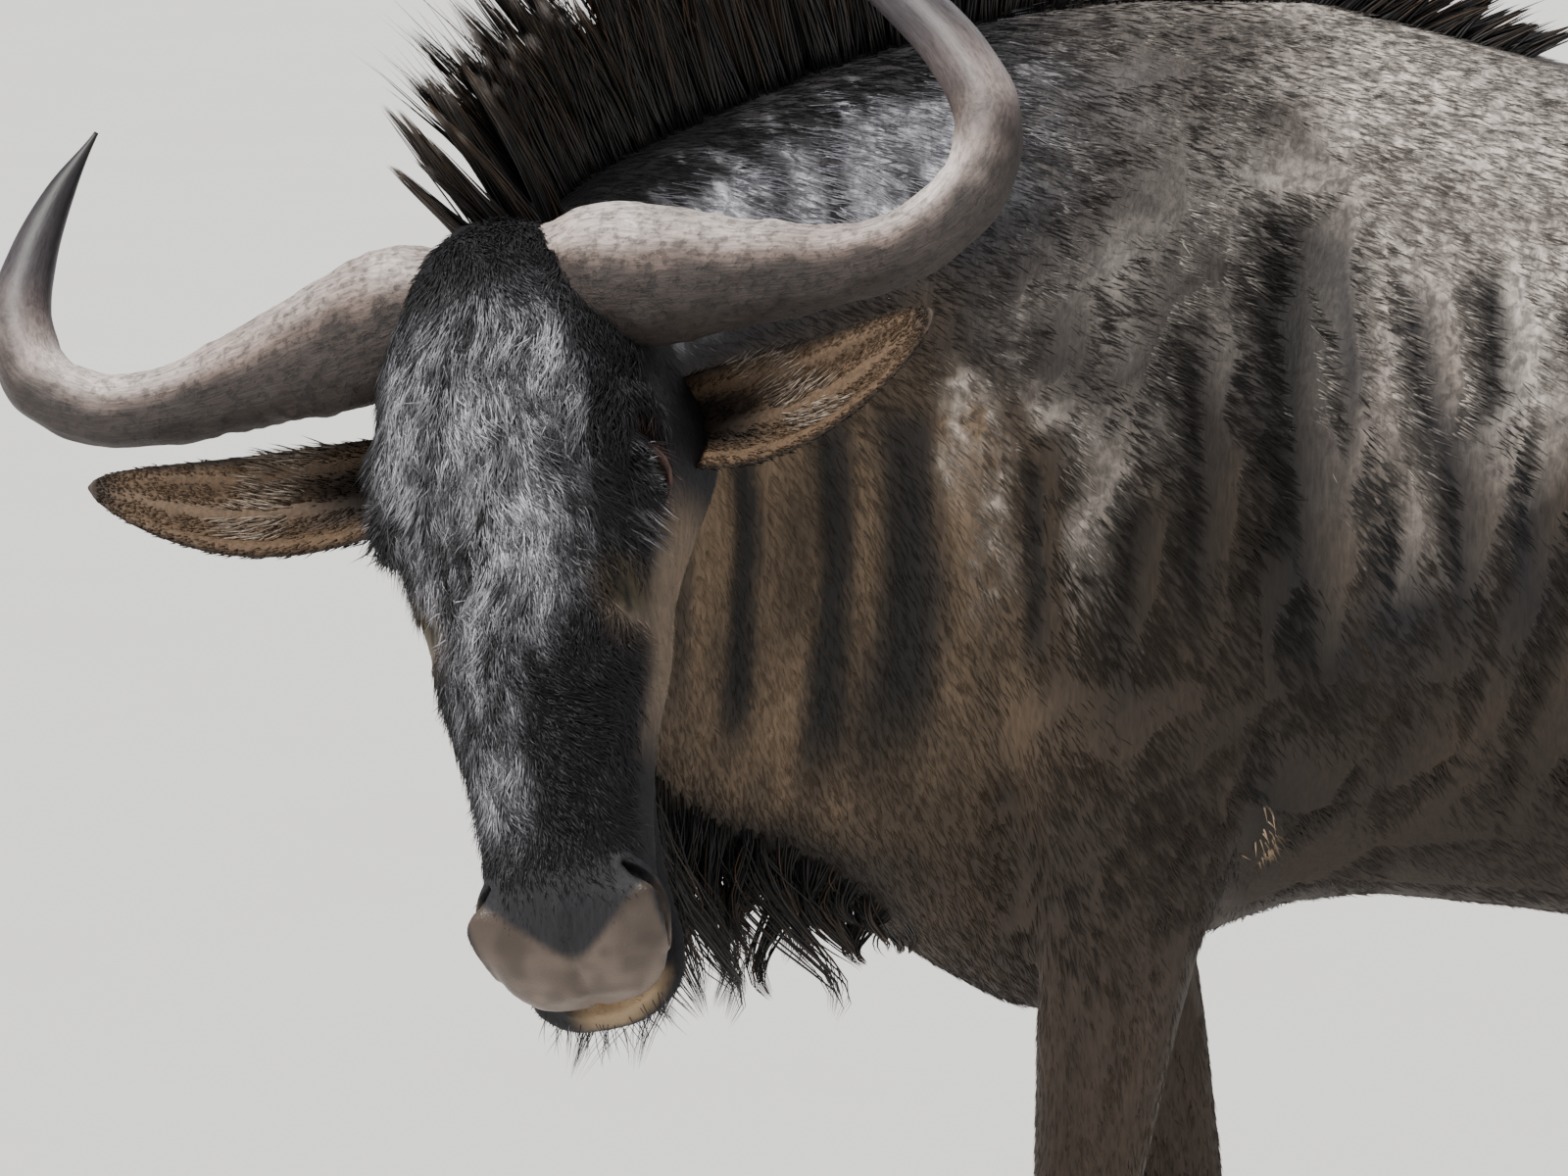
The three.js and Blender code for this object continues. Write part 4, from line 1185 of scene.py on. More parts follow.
def eye_material(name):
    """A wet dark eye: a clear smooth front over a brown iris and a level black pupil."""
    material, tree, shader = new_material(name)
    place = add_node(tree, "TexCoord").outputs["Object"]
    veins = add_node(tree, "TexNoise", {"Vector": place}, Scale=1000 / 3.0, Detail=3.0)
    shade = add_node(tree, "MapRange", {"Value": veins}, **levels(0.3, 0.7, 0.75, 1.25))
    wet = {"Roughness": 0.06, "IOR": 1.38, "Coat_Weight": 0.6, "Coat_Roughness": 0.03}
    set_node(tree, shader, {"Base Color": toned(tree, shade)}, wet)
    return material


def floor_material(name):
    """Matt paint, a little cloudy."""
    material, tree, shader = new_material(name)
    place = add_node(tree, "TexCoord").outputs["Object"]
    clouds = add_node(tree, "TexNoise", {"Vector": place}, Scale=2.0, Detail=3.0)
    ramp = add_node(tree, "ValToRGB", {"Fac": clouds})
    for stop, level in zip(ramp.color_ramp.elements, (0.96, 1.04)):
        stop.color = (*(level * share for share in settings().floor_colour), 1)
    set_node(tree, shader, {"Base Color": ramp}, {"Roughness": 0.8})
    return material


# Hair as joined strands

STRAND_SIDES = 3
STRAND_FLATNESS = 0.45


def strand_faces(rings):
    """The triangles of one strand: its sides ring by ring, its tip and its closed root."""
    faces = []
    for ring in range(rings - 2):
        for k in range(STRAND_SIDES):
            a, b = ring * STRAND_SIDES + k, ring * STRAND_SIDES + (k + 1) % STRAND_SIDES
            faces += [[a, b, b + STRAND_SIDES], [a, b + STRAND_SIDES, a + STRAND_SIDES]]
    last = (rings - 2) * STRAND_SIDES
    tip = last + STRAND_SIDES
    faces += [[last + k, last + (k + 1) % STRAND_SIDES, tip] for k in range(STRAND_SIDES)]
    faces += [[0, k + 1, k] for k in range(1, STRAND_SIDES - 1)]
    return np.array(faces)


def strand_mesh(name, paths, halves, across, root_tone, tip_tone, places):
    """One mesh of many tapering strands. paths is (strand, ring, xyz) in millimetres and halves
    each ring's half width; the last ring of each is its tip."""
    count, rings, _ = paths.shape
    along = unit(np.gradient(paths, axis=1))
    side = unit(across[:, None, :] - along * np.sum(along * across[:, None, :], axis=2, keepdims=True))
    deep = np.cross(along, side)
    turn = np.arange(STRAND_SIDES) * 2 * math.pi / STRAND_SIDES + math.pi / 2
    half = halves[:, :-1, None, None]
    wide = half * side[:, :-1, None, :] * np.cos(turn)[:, None]
    thick = half * STRAND_FLATNESS * deep[:, :-1, None, :] * np.sin(turn)[:, None]
    body = (paths[:, :-1, None, :] + wide + thick).reshape(count, (rings - 1) * STRAND_SIDES, 3)
    points = np.concatenate([body, paths[:, -1:, :]], axis=1)
    each = points.shape[1]
    faces = (strand_faces(rings)[None] + (np.arange(count) * each)[:, None, None]).reshape(-1, 3)

    mesh = bpy.data.meshes.new(name)
    mesh.vertices.add(count * each)
    mesh.vertices.foreach_set("co", placed(points.reshape(-1, 3)).astype(np.float32).ravel())
    mesh.loops.add(faces.size)
    mesh.loops.foreach_set("vertex_index", faces.ravel().astype(np.int32))
    mesh.polygons.add(len(faces))
    mesh.polygons.foreach_set("loop_start", np.arange(0, faces.size, 3, dtype=np.int32))
    mesh.update(calc_edges=True)

    share = np.append(np.repeat(np.arange(rings - 1), STRAND_SIDES), rings - 1) / (rings - 1)
    tone = blend(root_tone[:, None, :], tip_tone[:, None, :], np.broadcast_to(share, (count, each)))
    colour_points(mesh, "tone", tone.reshape(-1, 3))
    patch = np.stack([np.append(np.tile(np.cos(turn), rings - 1), 0) * 0.0015, (share - 0.5) * 0.003], -1)
    corners = (places[:, None, :] + patch[None]).reshape(-1, 2)[faces.ravel()]
    layer = mesh.uv_layers.new(name="OFBake")
    layer.data.foreach_set("uv", np.clip(corners, 0, 1).astype(np.float32).ravel())
    return mesh


def new_hair(name, material, slot, strands, tones, rows, *nodes):
    """A piece of many strands. strands are their paths, half widths and ways across, tones the
    colours of their roots and tips, and rows their places on an unwrap, which are fitted to the
    whole of the map."""
    low, high = rows.min(0), rows.max(0)
    places = 0.004 + 0.992 * (rows - low) / np.maximum(high - low, 1e-6)
    new_piece(name, strand_mesh(name, *strands, *tones, places), material, slot, *nodes)


def joined(parts):
    """Parts that each hold the same kinds of arrays, as one array of each kind."""
    return [np.concatenate(column) for column in zip(*parts)]


def spaced(draw, count):
    """Shares from 0 to 1 in rising order, one drawn in each equal step."""
    return (np.arange(count) + draw.random(count)) / count


def either_way(draw, count):
    """Numbers drawn from -1 to 1."""
    return draw.random(count) * 2 - 1


def root_tones(draw, count, colour, spread):
    """A colour for each root, from 0.7 of the given one up."""
    return colour * (0.7 + spread * draw.random(count))[:, None]


def of_lock(lock, row, seed):
    """A steady draw from 0 to 1 that is the same for all strands of a lock."""
    return lattice(np.stack([lock, lock * 0 + row, lock * 0], -1), seed)


class Skin:
    """The finished skin as arrays, for hair to be rooted in."""

    def __init__(self, mesh):
        mesh.calc_loop_triangles()
        corners = np.empty(len(mesh.loop_triangles) * 3, np.int32)
        mesh.loop_triangles.foreach_get("vertices", corners)
        self.points, self.normals = surface(mesh)
        self.triangles = corners.reshape(-1, 3)
        a, b, c = (self.points[self.triangles[:, k]] for k in range(3))
        self.areas = np.linalg.norm(np.cross(b - a, c - a), axis=1) / 2
        self.centres = (a + b + c) / 3

    def scatter(self, draw, count, density):
        """Roots spread over the skin, thicker where the density of its triangles is more."""
        weight = self.areas * density
        steps = np.cumsum(weight) / weight.sum()
        place = (np.arange(count) + draw.random(count)) / count
        chosen = np.minimum(np.searchsorted(steps, place), len(steps) - 1)
        a, b = draw.random(count), draw.random(count)
        over = a + b > 1
        a[over], b[over] = 1 - a[over], 1 - b[over]
        shares = np.stack([1 - a - b, a, b], -1)[..., None]
        points = np.sum(self.points[self.triangles[chosen]] * shares, axis=1)
        normals = unit(np.sum(self.normals[self.triangles[chosen]] * shares, axis=1))
        return points, normals


def lie_of_coat(points):
    """The way the hair lies: back and down along the body, down the legs, down the face."""
    u, _ = trunk_place(points)
    s, t, n = on_head(points).T
    x, z = points[:, 0], points[:, 2]
    way = -spine_way(u)
    way[:, 2] = -0.55 - 0.9 * ease(z, 1150, 850) - 0.9 * ease(z, 1180, 1000) * ease(x, -150, -300)
    way = unit(way)
    leg = ease(z, 760, 620)[:, None]
    way = way * (1 - leg) + np.array([0.15, 0, -1.0]) * leg
    spread = np.stack([0.9 + 0 * t, 0.012 * (t + 8) * ease(s, 120, 260), -0.35 * ease(n, 10, -20)], -1)
    head = head_share(points, -10, 30)[:, None]
    return unit(way * (1 - head) + (spread @ HEAD) * head)


def short_hairs(draw, roots, normals, length, half, lift, sink=1.0, rings=2, curl=0.0):
    """Paths, half widths and the way across for short hairs that lie along the coat. Their roots
    are sunk below the hide, so that each rises out of it to a point."""
    lie = lie_of_coat(roots)
    if curl:
        swirl = np.stack([patches(roots, 26, seed) - 0.5 for seed in (51, 52, 53)], -1)
        lie = lie + 1.5 * curl * swirl
    lie = lie + 0.16 * draw.normal(size=lie.shape)
    flat = unit(lie - normals * np.sum(lie * normals, axis=1, keepdims=True))
    side = np.cross(normals, flat)
    share = np.linspace(0, 1, rings)[None, :, None]
    far = length[:, None, None]
    rise = (lift * length)[:, None, None] * share * (1 - 0.35 * share)
    paths = roots[:, None, :] + flat[:, None, :] * (far * share) + normals[:, None, :] * rise
    if curl:
        swing = 2.6 * (patches(roots, 21, 41) - 0.5) + 0.35 * draw.normal(size=len(roots))
        paths = paths + side[:, None, :] * (curl * swing * length)[:, None, None] * share**2
    paths = paths - normals[:, None, :] * sink
    taper = np.maximum(1 - share[:, :, 0] ** 1.5, 0)
    return paths, half[:, None] * taper, side


# Settings


LENGTH = {"subtype": "DISTANCE", "unit": "LENGTH"}


class WildebeestSettings(bpy.types.PropertyGroup):
    """Sizes, counts and colours that a user may change."""

    coat_depth: FloatProperty(
        name="Coat depth", description="How far the skin lies under the coat", default=0.003, **LENGTH
    )
    voxel: FloatProperty(
        name="Skin grain", description="Size of the skin's cells before it is thinned",
        default=0.004, **LENGTH,
    )
    skin_faces: IntProperty(
        name="Skin triangles", description="Triangles of the finished skin", default=185000
    )
    body_hairs: IntProperty(
        name="Body tufts", description="Tufts of the short coat in each part of it", default=40000
    )
    face_hairs: IntProperty(name="Face tufts", description="Curly tufts on the face", default=19000)
    mane_strands: IntProperty(
        name="Mane strands", description="Strands in each half of the mane", default=3600
    )
    beard_strands: IntProperty(name="Beard strands", description="Strands of the beard", default=3000)
    tail_strands: IntProperty(name="Tail strands", description="Strands of the tail", default=1800)
    horn_rough: FloatProperty(
        name="Horn relief", description="Depth of the grooves at the boss", default=0.0024, **LENGTH
    )
    floor_colour: FloatVectorProperty(
        name="Floor", description="Colour of the floor", subtype="COLOR", size=3,
        default=(0.8, 0.79, 0.77),
    )


def settings():
    return bpy.context.scene.wildebeest


def thinned(count):
    """A count of hairs, returned as it is."""
    return count


# Pieces

# The solids that the skin stands for
FLESH_NODES = ["head", "neck", "torso", "rump", "tail_dock"] + [
    f"leg_{leg}_{part}" for leg in LEGS for part in ("upper", "lower")
]


def flesh_form():
    """Trunk, head, legs and the tail's dock, grown together into one smooth form."""
    bm = bmesh.new()
    for ring, sides, steps in (
        (lambda turn, u: trunk_spot(u, turn), 64, 90),
        (skull_ring(SKULL, 1.9), 64, 60),
        (skull_ring(JAW, 2.0), 40, 36),
        *((leg_ring(leg), 28, 64) for leg in LEGS),
        (sweep_ring(TAIL_LINE, [0, 1, 0], lambda u: (34 - 17 * u, 28 - 12 * u)), 24, 30),
    ):
        loft(bm, ring, sides, steps)
    bmesh.ops.recalc_face_normals(bm, faces=bm.faces)
    mesh = applied(
        mesh_of(bm, "flesh"),
        ("REMESH", {"mode": "VOXEL", "voxel_size": settings().voxel}, None),
        ("SMOOTH", {"factor": 0.5, "iterations": 5}, None),
    )
    # the flank is smoothed much further, because tufts would sink into the ledges where the
    # legs meet the trunk
    points = unplaced(mesh_points(mesh))
    x, z = points[:, 0], points[:, 2]
    flank = ease(z, 600, 690) * ease(z, 1100, 1000) * ease(x, -300, -230)
    return applied(mesh, ("SMOOTH", {"factor": 0.5, "iterations": 90}, np.round(flank * 8) / 8))


def raise_relief(mesh):
    """Lifts muscles, folds and bones off the form, and sinks it all under the coat."""
    points, normals = surface(mesh)
    head = head_share(points, -30, 30)
    rise = (1 - head) * (body_relief(points, normals) + leg_relief(points))
    rise += head * head_relief(on_head(points))
    rise -= settings().coat_depth * 1000
    set_points(mesh, points + normals * rise[:, None])


def open_features(mesh):
    """Shapes mouth, nostrils and eyes, with finer faces round them; gives the new points."""
    eyes = [head_spot(eye_axes(side)[0]) for side in SIDES.values()]
    nose = [head_spot([s, side * t, n]) for side in SIDES.values() for s, t, n in NOSTRIL]
    lips = [head_spot([s, t, MOUTH_LINE]) for s, t in mouth_line()]
    for reaches in ((46, 20, 15), (33, 15, 9)):
        refine(mesh, zip((eyes, nose, lips), reaches))
    points, normals = surface(mesh)
    near = points[:, 0] < FACE_BEFORE
    spots = shape_mouth(on_head(points[near]), normals[near] @ HEAD_BACK)
    points[near] = head_spot(shape_eyes(shape_nostrils(spots)))
    set_points(mesh, points)
    return points


def build_skin():
    """One skin for all the flesh, thinned least on the head."""
    mesh = flesh_form()
    raise_relief(mesh)
    points = open_features(mesh)
    face = in_head(points, -10)
    neck = (points[:, 0] < -150) & ~face
    share = np.where(face, 0.0, np.where(neck, 0.5, 1.0))
    triangles = sum(len(polygon.vertices) - 2 for polygon in mesh.polygons)
    mesh = applied(mesh, ("DECIMATE", {"ratio": settings().skin_faces / triangles}, share))
    tone, silver, bare, _ = coat_tone(unplaced(mesh_points(mesh)))
    colour_points(mesh, "tone", tone)
    colour_points(mesh, "marks", silver, bare, 0 * bare)
    new_piece("skin", mesh, hide_material("short hair on hide"), "body_hide", *FLESH_NODES)


def mouth_line():
    """Points along the mouth: distance down the face and to the left."""
    half = [[400, 60], [428, 62], [455, 63], [478, 65], [500, 66], [515, 57], [526, 46], [533, 28]]
    return half + [[536, 0]] + [[s, -t] for s, t in half]


def coat_zone(points):
    """0 head, 1 neck, 2 shoulders, 3 barrel, 4 rump, 5 legs."""
    x, z = points[:, 0], points[:, 2]
    zone = np.where(x < -210, 1, np.where(x < 90, 2, np.where(x < 560, 3, 4)))
    zone = np.where(z < 640, 5, zone)
    return np.where(in_head(points), 0, zone)


def unwrap(points, zone):
    """Places on an unwrap of the skin: round and along each part, the legs side by side."""
    if zone == 0:
        s, t, n = on_head(points).T
        return np.stack([s, np.arctan2(t, n + 45) * 60], -1)
    if zone == 5:
        leg = (points[:, 0] > 400) * 2 + (points[:, 1] > 0)
        rows = np.zeros((len(points), 2))
        for k, name in enumerate(LEGS):
            x, y, deep, wide = leg_place(points, name)
            turn = np.arctan2((points[:, 1] - y) / wide, (points[:, 0] - x) / deep) / 2 / math.pi
            rows[leg == k] = np.stack([k + 0.5 + 0.96 * turn, points[:, 2] / 200], -1)[leg == k]
        return rows
    u, out = trunk_place(points)
    row = between(TRUNK, u)
    middle = (row[:, 2] + row[:, 3]) / 2
    return np.stack([u * 20, np.arctan2(out / row[:, 4], (points[:, 2] - middle) / 330)], -1)


# The short coat by its zones: name, slot, length and half width of a tuft, share of the tufts
# that the settings give, and how much tufts differ in tone
COAT_PIECES = {
    1: ("coat_neck", "neck_hide", 20.0, 1.2, 0.8, 0.3),
    2: ("coat_shoulders", "body_hide", 21.0, 1.35, 0.85, 0.6),
    3: ("coat_barrel", "body_hide", 22.0, 1.5, 0.95, 0.45),
    4: ("coat_rump", "body_hide", 22.0, 1.5, 0.75, 0.45),
    5: ("coat_legs", "leg_hide", 15.0, 1.2, 0.5, 0.2),
}


def build_short_coat():
    """Short straight tufts over the body, in pieces that meet where the body's parts do."""
    skin = Skin(bpy.data.objects["skin"].data)
    zones = coat_zone(skin.centres)
    u, _ = trunk_place(skin.centres)
    bare = callus(between(TRUNK, u)[:, 0] + 12, skin.centres[:, 2] - 14) < 2.8
    material = strand_material("short body hair", 0.6, 2.4)
    for zone, (name, slot, length, half, share, contrast) in COAT_PIECES.items():
        draw = np.random.default_rng(100 + zone)
        count = thinned(int(settings().body_hairs * share))
        covered = (zones == zone) & (skin.centres[:, 2] > CORONET + 2) & ~bare
        roots, normals = skin.scatter(draw, count, covered)
        u, _ = trunk_place(roots)
        top = np.interp(u, SPINE_U, between(TRUNK, SPINE_U)[:, 2])
        crest = ease(top - roots[:, 2], 140, 40) * (zone < 3) * ease(roots[:, 0], -60, -160)
        lengths = length * (0.75 + 0.5 * draw.random(count)) * (1 + 0.9 * crest)
        halves = half * (0.8 + 0.4 * draw.random(count))
        lift = 0.17 + 0.06 * draw.random(count)
        sink = 0.065 * lengths[:, None, None]
        strands = short_hairs(draw, roots, normals, lengths, halves, lift, sink)
        new_coat(name, slot, material, draw, roots, strands, unwrap(roots, zone), contrast)


def new_coat(name, slot, material, draw, roots, strands, rows, contrast=0.5, lock=8):
    """Colours the two ends of tufts as the hide below them is marked, and adds them. Neighbouring
    tufts form locks that are paler or darker together; a lock is about lock millimetres wide."""
    tips = strands[0][:, -1]
    locks = ease(patches(tips * [1, 1, 0.4], lock, 71), 0.2, 0.8)
    mixed = 0.65 * locks + 0.35 * draw.random(len(roots))
    vary = np.exp(0.25 * contrast * draw.normal(size=len(roots)) + 0.6 * contrast * (locks - 0.5))
    ends = []
    for points, level, amount in ((roots, 0.9, 0.6), (tips, 1.12, 1.0)):
        tone, silver, _, cool = coat_tone(points)
        pale = blend(COAT["silver"], COAT["frost_and_sheen"], cool)
        share = amount * np.clip(silver * 1.6 * mixed ** (1 + contrast), 0, 0.93)
        ends.append(np.clip(blend(tone * (level * vary)[:, None], pale, share), 0, 1))
    new_hair(name, material, slot, strands, ends, rows)


def hairy_face(skin):
    """Which triangles of the head carry hair: not eyes, glands, nostrils, lips and pad."""
    spots = on_head(skin.centres)
    open_part = np.zeros(len(spots), bool)
    for side in SIDES.values():
        x, y, z = eye_place(spots, side)
        open_part |= (np.hypot(x / 2.2, y) < 13.0) & (z > -10)
        away, _ = off_line(spots, np.array(NOSTRIL) * [1, side, 1])
        open_part |= away < 11
    open_part |= (gland(spots[:, 0], spots[:, 1]) < 1.3) & (spots[:, 2] > -20)
    open_part |= (np.abs(spots[:, 2] - MOUTH_LINE) < 6) & (spots[:, 0] > 400)
    _, _, bare, _ = coat_tone(skin.centres)
    return (coat_zone(skin.centres) == 0) & (bare < 0.25) & ~open_part


def build_face_coat():
    """Curly hair on the forehead and nose, short straight hair elsewhere on the head."""
    skin = Skin(bpy.data.objects["skin"].data)
    s, _, n = on_head(skin.centres).T
    hairy = hairy_face(skin)
    curly = ease(n, 4, 26) * ease(s, 470, 430)
    material = strand_material("face hair", 0.5, 2.2)

    draw = np.random.default_rng(31)
    count = thinned(settings().face_hairs)
    roots, normals = skin.scatter(draw, count, hairy * curly)
    s = on_head(roots)[:, 0]
    length = (13 + 8 * draw.random(count)) * (1 + 0.3 * ease(s, 300, 120))
    length *= (1 - 0.45 * ease(s, 400, 460)) * (1 - 0.4 * ease(s, 70, 30))
    half = 0.75 + 0.4 * draw.random(count)
    lift = 0.22 + 0.22 * draw.random(count)
    strands = short_hairs(draw, roots, normals, length, half, lift, rings=3, curl=0.5)
    new_coat("coat_face", "face_hide", material, draw, roots, strands, unwrap(roots, 0), 0.8, 5)

    draw = np.random.default_rng(32)
    count = thinned(int(settings().body_hairs * 0.75))
    roots, normals = skin.scatter(draw, count, hairy * (1 - 0.75 * curly))
    s = on_head(roots)[:, 0]
    length = (7 + 4 * draw.random(count)) * (1 + 0.5 * ease(s, 250, 60)) * (1 - 0.4 * ease(s, 440, 500))
    half = 0.5 + 0.2 * draw.random(count)
    lift = 0.15 + 0.12 * draw.random(count)
    strands = short_hairs(draw, roots, normals, length, half, lift)
    new_coat("coat_head", "face_hide", material, draw, roots, strands, unwrap(roots, 0))


def mane_at(share):
    """The mane at shares of its length: root, the ridge's way, the way out, the hair's way,
    its lean and its length."""
    x, length, tilt = np.moveaxis(between(MANE, share), -1, 0)
    u = share_at(TRUNK, x)
    way = spine_way(u)
    out = np.stack([-way[:, 1], way[:, 0], 0 * u], -1)
    lean = np.sin(np.radians(tilt))
    toward = unit(way + 0.9 * np.array([-1.0, 0, 0]))
    lie = toward * lean[:, None]
    lie[:, 2] = np.sqrt(1 - lean**2)
    return trunk_spot(u, 0 * u), way, out, lie, lean, length


def long_hairs(draw, roots, lie, fall, length, half, across, rings, wave, lock=None, gather=0.0):
    """Long strands: each leaves along "lie", bends by "fall" and waves; those of one lock draw
    together toward their tips. Gives their paths, half widths and ways across."""
    share = np.linspace(0, 1, rings)[None, :, None]
    far = length[:, None, None]
    paths = roots[:, None, :] + lie[:, None, :] * far * share + fall[:, None, :] * far * share**2
    start = draw.random(len(roots))
    if lock is not None:
        start = 0.12 * start + of_lock(lock, lock, 17)
    phase = start[:, None, None] * 2 * math.pi
    turn = 4.6 * share + phase
    third = np.cross(lie, across)
    paths = paths + across[:, None, :] * wave * far * share * (np.sin(turn) - np.sin(phase)) * 0.5
    paths = paths + third[:, None, :] * wave * far * share * (np.cos(turn) - np.cos(phase)) * 0.3
    if lock is not None:
        total = np.zeros((lock.max() + 1, rings, 3))
        np.add.at(total, lock, paths)
        middle = total / np.maximum(np.bincount(lock, minlength=len(total)), 1)[:, None, None]
        paths = paths + (middle[lock] - paths) * gather * share**0.9
    taper = (1 - share[:, :, 0] ** 2.2) * (0.75 + 0.25 * np.minimum(1, 4 * share[:, :, 0]))
    return paths, half[:, None] * taper, across


def build_mane():
    """The standing mane from the crown to behind the withers, black, with painted backlight
    browning its tips.
    """
    material = strand_material("mane hair", 0.42)
    for part, (name, low, high, locks) in enumerate(MANE_PIECES):
        draw = np.random.default_rng(40 + part)
        count = thinned(settings().mane_strands)
        share = low + (high - low) * (np.arange(count) + draw.random(count)) / count
        uneven = (share - low) / (high - low) * locks + 0.45 * np.sin(share * 160)
        row = either_way(draw, count)
        lock = np.clip(uneven, 0, locks - 1).astype(int) * 2 + (row > 0)
        roots, way, out, lie, lean, length = mane_at(np.clip(share, 0.003, 0.997))
        length = length * (0.7 + 0.36 * of_lock(lock, 0, 3)) * (0.5 + 0.52 * draw.random(count) ** 1.2)
        roots = roots + out * (row * 17)[:, None] - lie * 10
        roots[:, 2] -= 4 * np.abs(row) ** 2
        hair = unit(lie + out * (0.16 * row)[:, None] + way * (0.07 * draw.normal(size=count))[:, None])
        fall = out * (0.12 * row)[:, None] + way * (0.22 * lean + 0.03 * draw.normal(size=count))[:, None]
        half = 1.25 * (0.8 + 0.4 * draw.random(count))
        gather = 0.9 * (draw.random(count) < 0.85)[:, None, None]
        strands = long_hairs(draw, roots, hair, fall, length, half, way, 7, 0.06, lock, gather)
        # tips painted brown as light shining through them
        backlit_share = 0.6 * draw.random(count) ** 4
        root = root_tones(draw, count, COAT["black"], 0.6)
        tones = root, blend(root, COAT["tip"], backlit_share)
        new_hair(name, material, "long_hair", strands, tones, np.stack([share, row], -1))
    build_crown(material)


def build_crown(material):
    """Four locks that stand on the crown behind the horns."""
    draw = np.random.default_rng(45)
    each = thinned(CROWN_HAIRS)
    across = np.tile(unit(np.array([0.75, -0.66, 0])), (each, 1))
    fall = np.tile([-0.12, 0.0, 0.0], (each, 1))
    parts = []
    for root, length, tilt in CROWN:
        lean = math.sin(math.radians(tilt))
        lie = np.array([-lean, 0, math.sqrt(1 - lean**2)])
        spread = draw.normal(size=(each, 3)) * [8, 8, 3]
        roots = head_spot(root) - lie * 14 + spread
        hair = unit(lie + np.sign(spread) * [0.06, 0.06, 0] + 0.03 * draw.normal(size=(each, 3)))
        far = length * (0.7 + 0.33 * draw.random(each))
        half = 1.2 * (0.8 + 0.4 * draw.random(each))
        lock = (spread[:, 0] > 0) * 2 + (spread[:, 1] > 0)
        strands = long_hairs(draw, roots, hair, fall, far, half, across, 7, 0.05, lock, 0.85)
        parts.append((*strands, spread[:, :2]))
    *strands, rows = joined(parts)
    root = root_tones(draw, len(rows), COAT["black"], 0.6)
    # tips painted brown as light shining through them
    tones = root, blend(root, COAT["tip"], 0.6 * draw.random(len(rows)) ** 3)
    rows[:, 0] += np.repeat(np.arange(len(CROWN)), each) * 60
    new_hair("crown_hair", material, "long_hair", strands, tones, rows)


def jaw_spot(share, row):
    """Roots under the jaw, the way along it and the way to its left; row is -1 to 1 across."""
    down = JAW_BEARD["from"] + (JAW_BEARD["to"] - JAW_BEARD["from"]) * share
    _, _, bottom, half, _ = between(JAW, share_at(JAW, down)).T
    roots = head_spot(np.stack([down, 0.62 * half * row, bottom + 7 + 16 * row**2], -1))
    return roots, *(np.tile(head_way(way), (len(share), 1)) for way in ([-1, 0, 0], [0, 1, 0]))


def throat_spot(share, row):
    """Roots under the throat, the way along it and the way to its left; row is -1 to 1 across."""
    x = THROAT_BEARD["from"] + (THROAT_BEARD["to"] - THROAT_BEARD["from"]) * share
    u = share_at(TRUNK, x)
    way = spine_way(u)
    roots = trunk_spot(u, math.pi - 0.55 * row * (1 - 0.4 * share), 0.97)
    return roots, -way, np.stack([-way[:, 1], way[:, 0], 0 * u], -1)


def build_beard():
    """Long wavy hair below the jaw and throat, black, with pale brown wisps of painted
    backlight.
    """
    parts = []
    for k, (table, rooted, swing, share_of) in enumerate(
        (
            (JAW_BEARD, jaw_spot, np.array([0, 0.3, 0]), 0.42),
            (THROAT_BEARD, throat_spot, np.array([0.25, 0, 0]), 0.58),
        )
    ):
        draw = np.random.default_rng(50 + k)
        count = thinned(int(settings().beard_strands * share_of))
        share = spaced(draw, count)
        row = either_way(draw, count)
        start, along, out = rooted(share, row)
        long = between([[value] for value in table["length"]], share)[:, 0]
        uneven = share * BEARD_LOCKS + 0.5 * np.sin(share * 60)
        lock = np.clip(uneven, 0, BEARD_LOCKS - 1).astype(int) * 3 + ((row + 1) * 1.49).astype(int)
        tall = 0.55 + 0.85 * of_lock(lock, k, 7) ** (1 + k)
        length = long * tall * (0.5 + 0.6 * draw.random(count) ** 1.3)
        down = np.array([0, 0, -1.0])
        lie = unit(down + out * (0.1 * row)[:, None] + 0.35 * swing + 0.07 * draw.normal(size=(count, 3)))
        curl = 1.3 * of_lock(lock, k, 8) - 0.25
        fall = curl[:, None] * swing + along * (0.1 * draw.normal(size=count))[:, None]
        half = 1.15 * (0.75 + 0.5 * draw.random(count))
        fall = fall - out * (0.3 * row)[:, None]
        # the few hairs outside the locks are shorter
        free = draw.random(count) >= 0.85
        length = np.where(free, 0.55 * length, length)
        gather = 0.92 * ~free[:, None, None]
        wave = 0.3 + 0.15 * k
        strands = long_hairs(draw, start, lie, fall, length, half, along, 8, wave, lock, gather)
        parts.append((*strands, np.stack([share + 1.1 * k, row], -1)))
    *strands, rows = joined(parts)
    draw = np.random.default_rng(59)
    root = root_tones(draw, len(rows), COAT["black"], 0.8)
    # tips painted brown as light shining through them
    tones = root, blend(root, COAT["tip"], 0.8 * draw.random(len(rows)) ** 6)
    new_hair("beard", strand_material("beard hair", 0.45), "long_hair", strands, tones, rows)


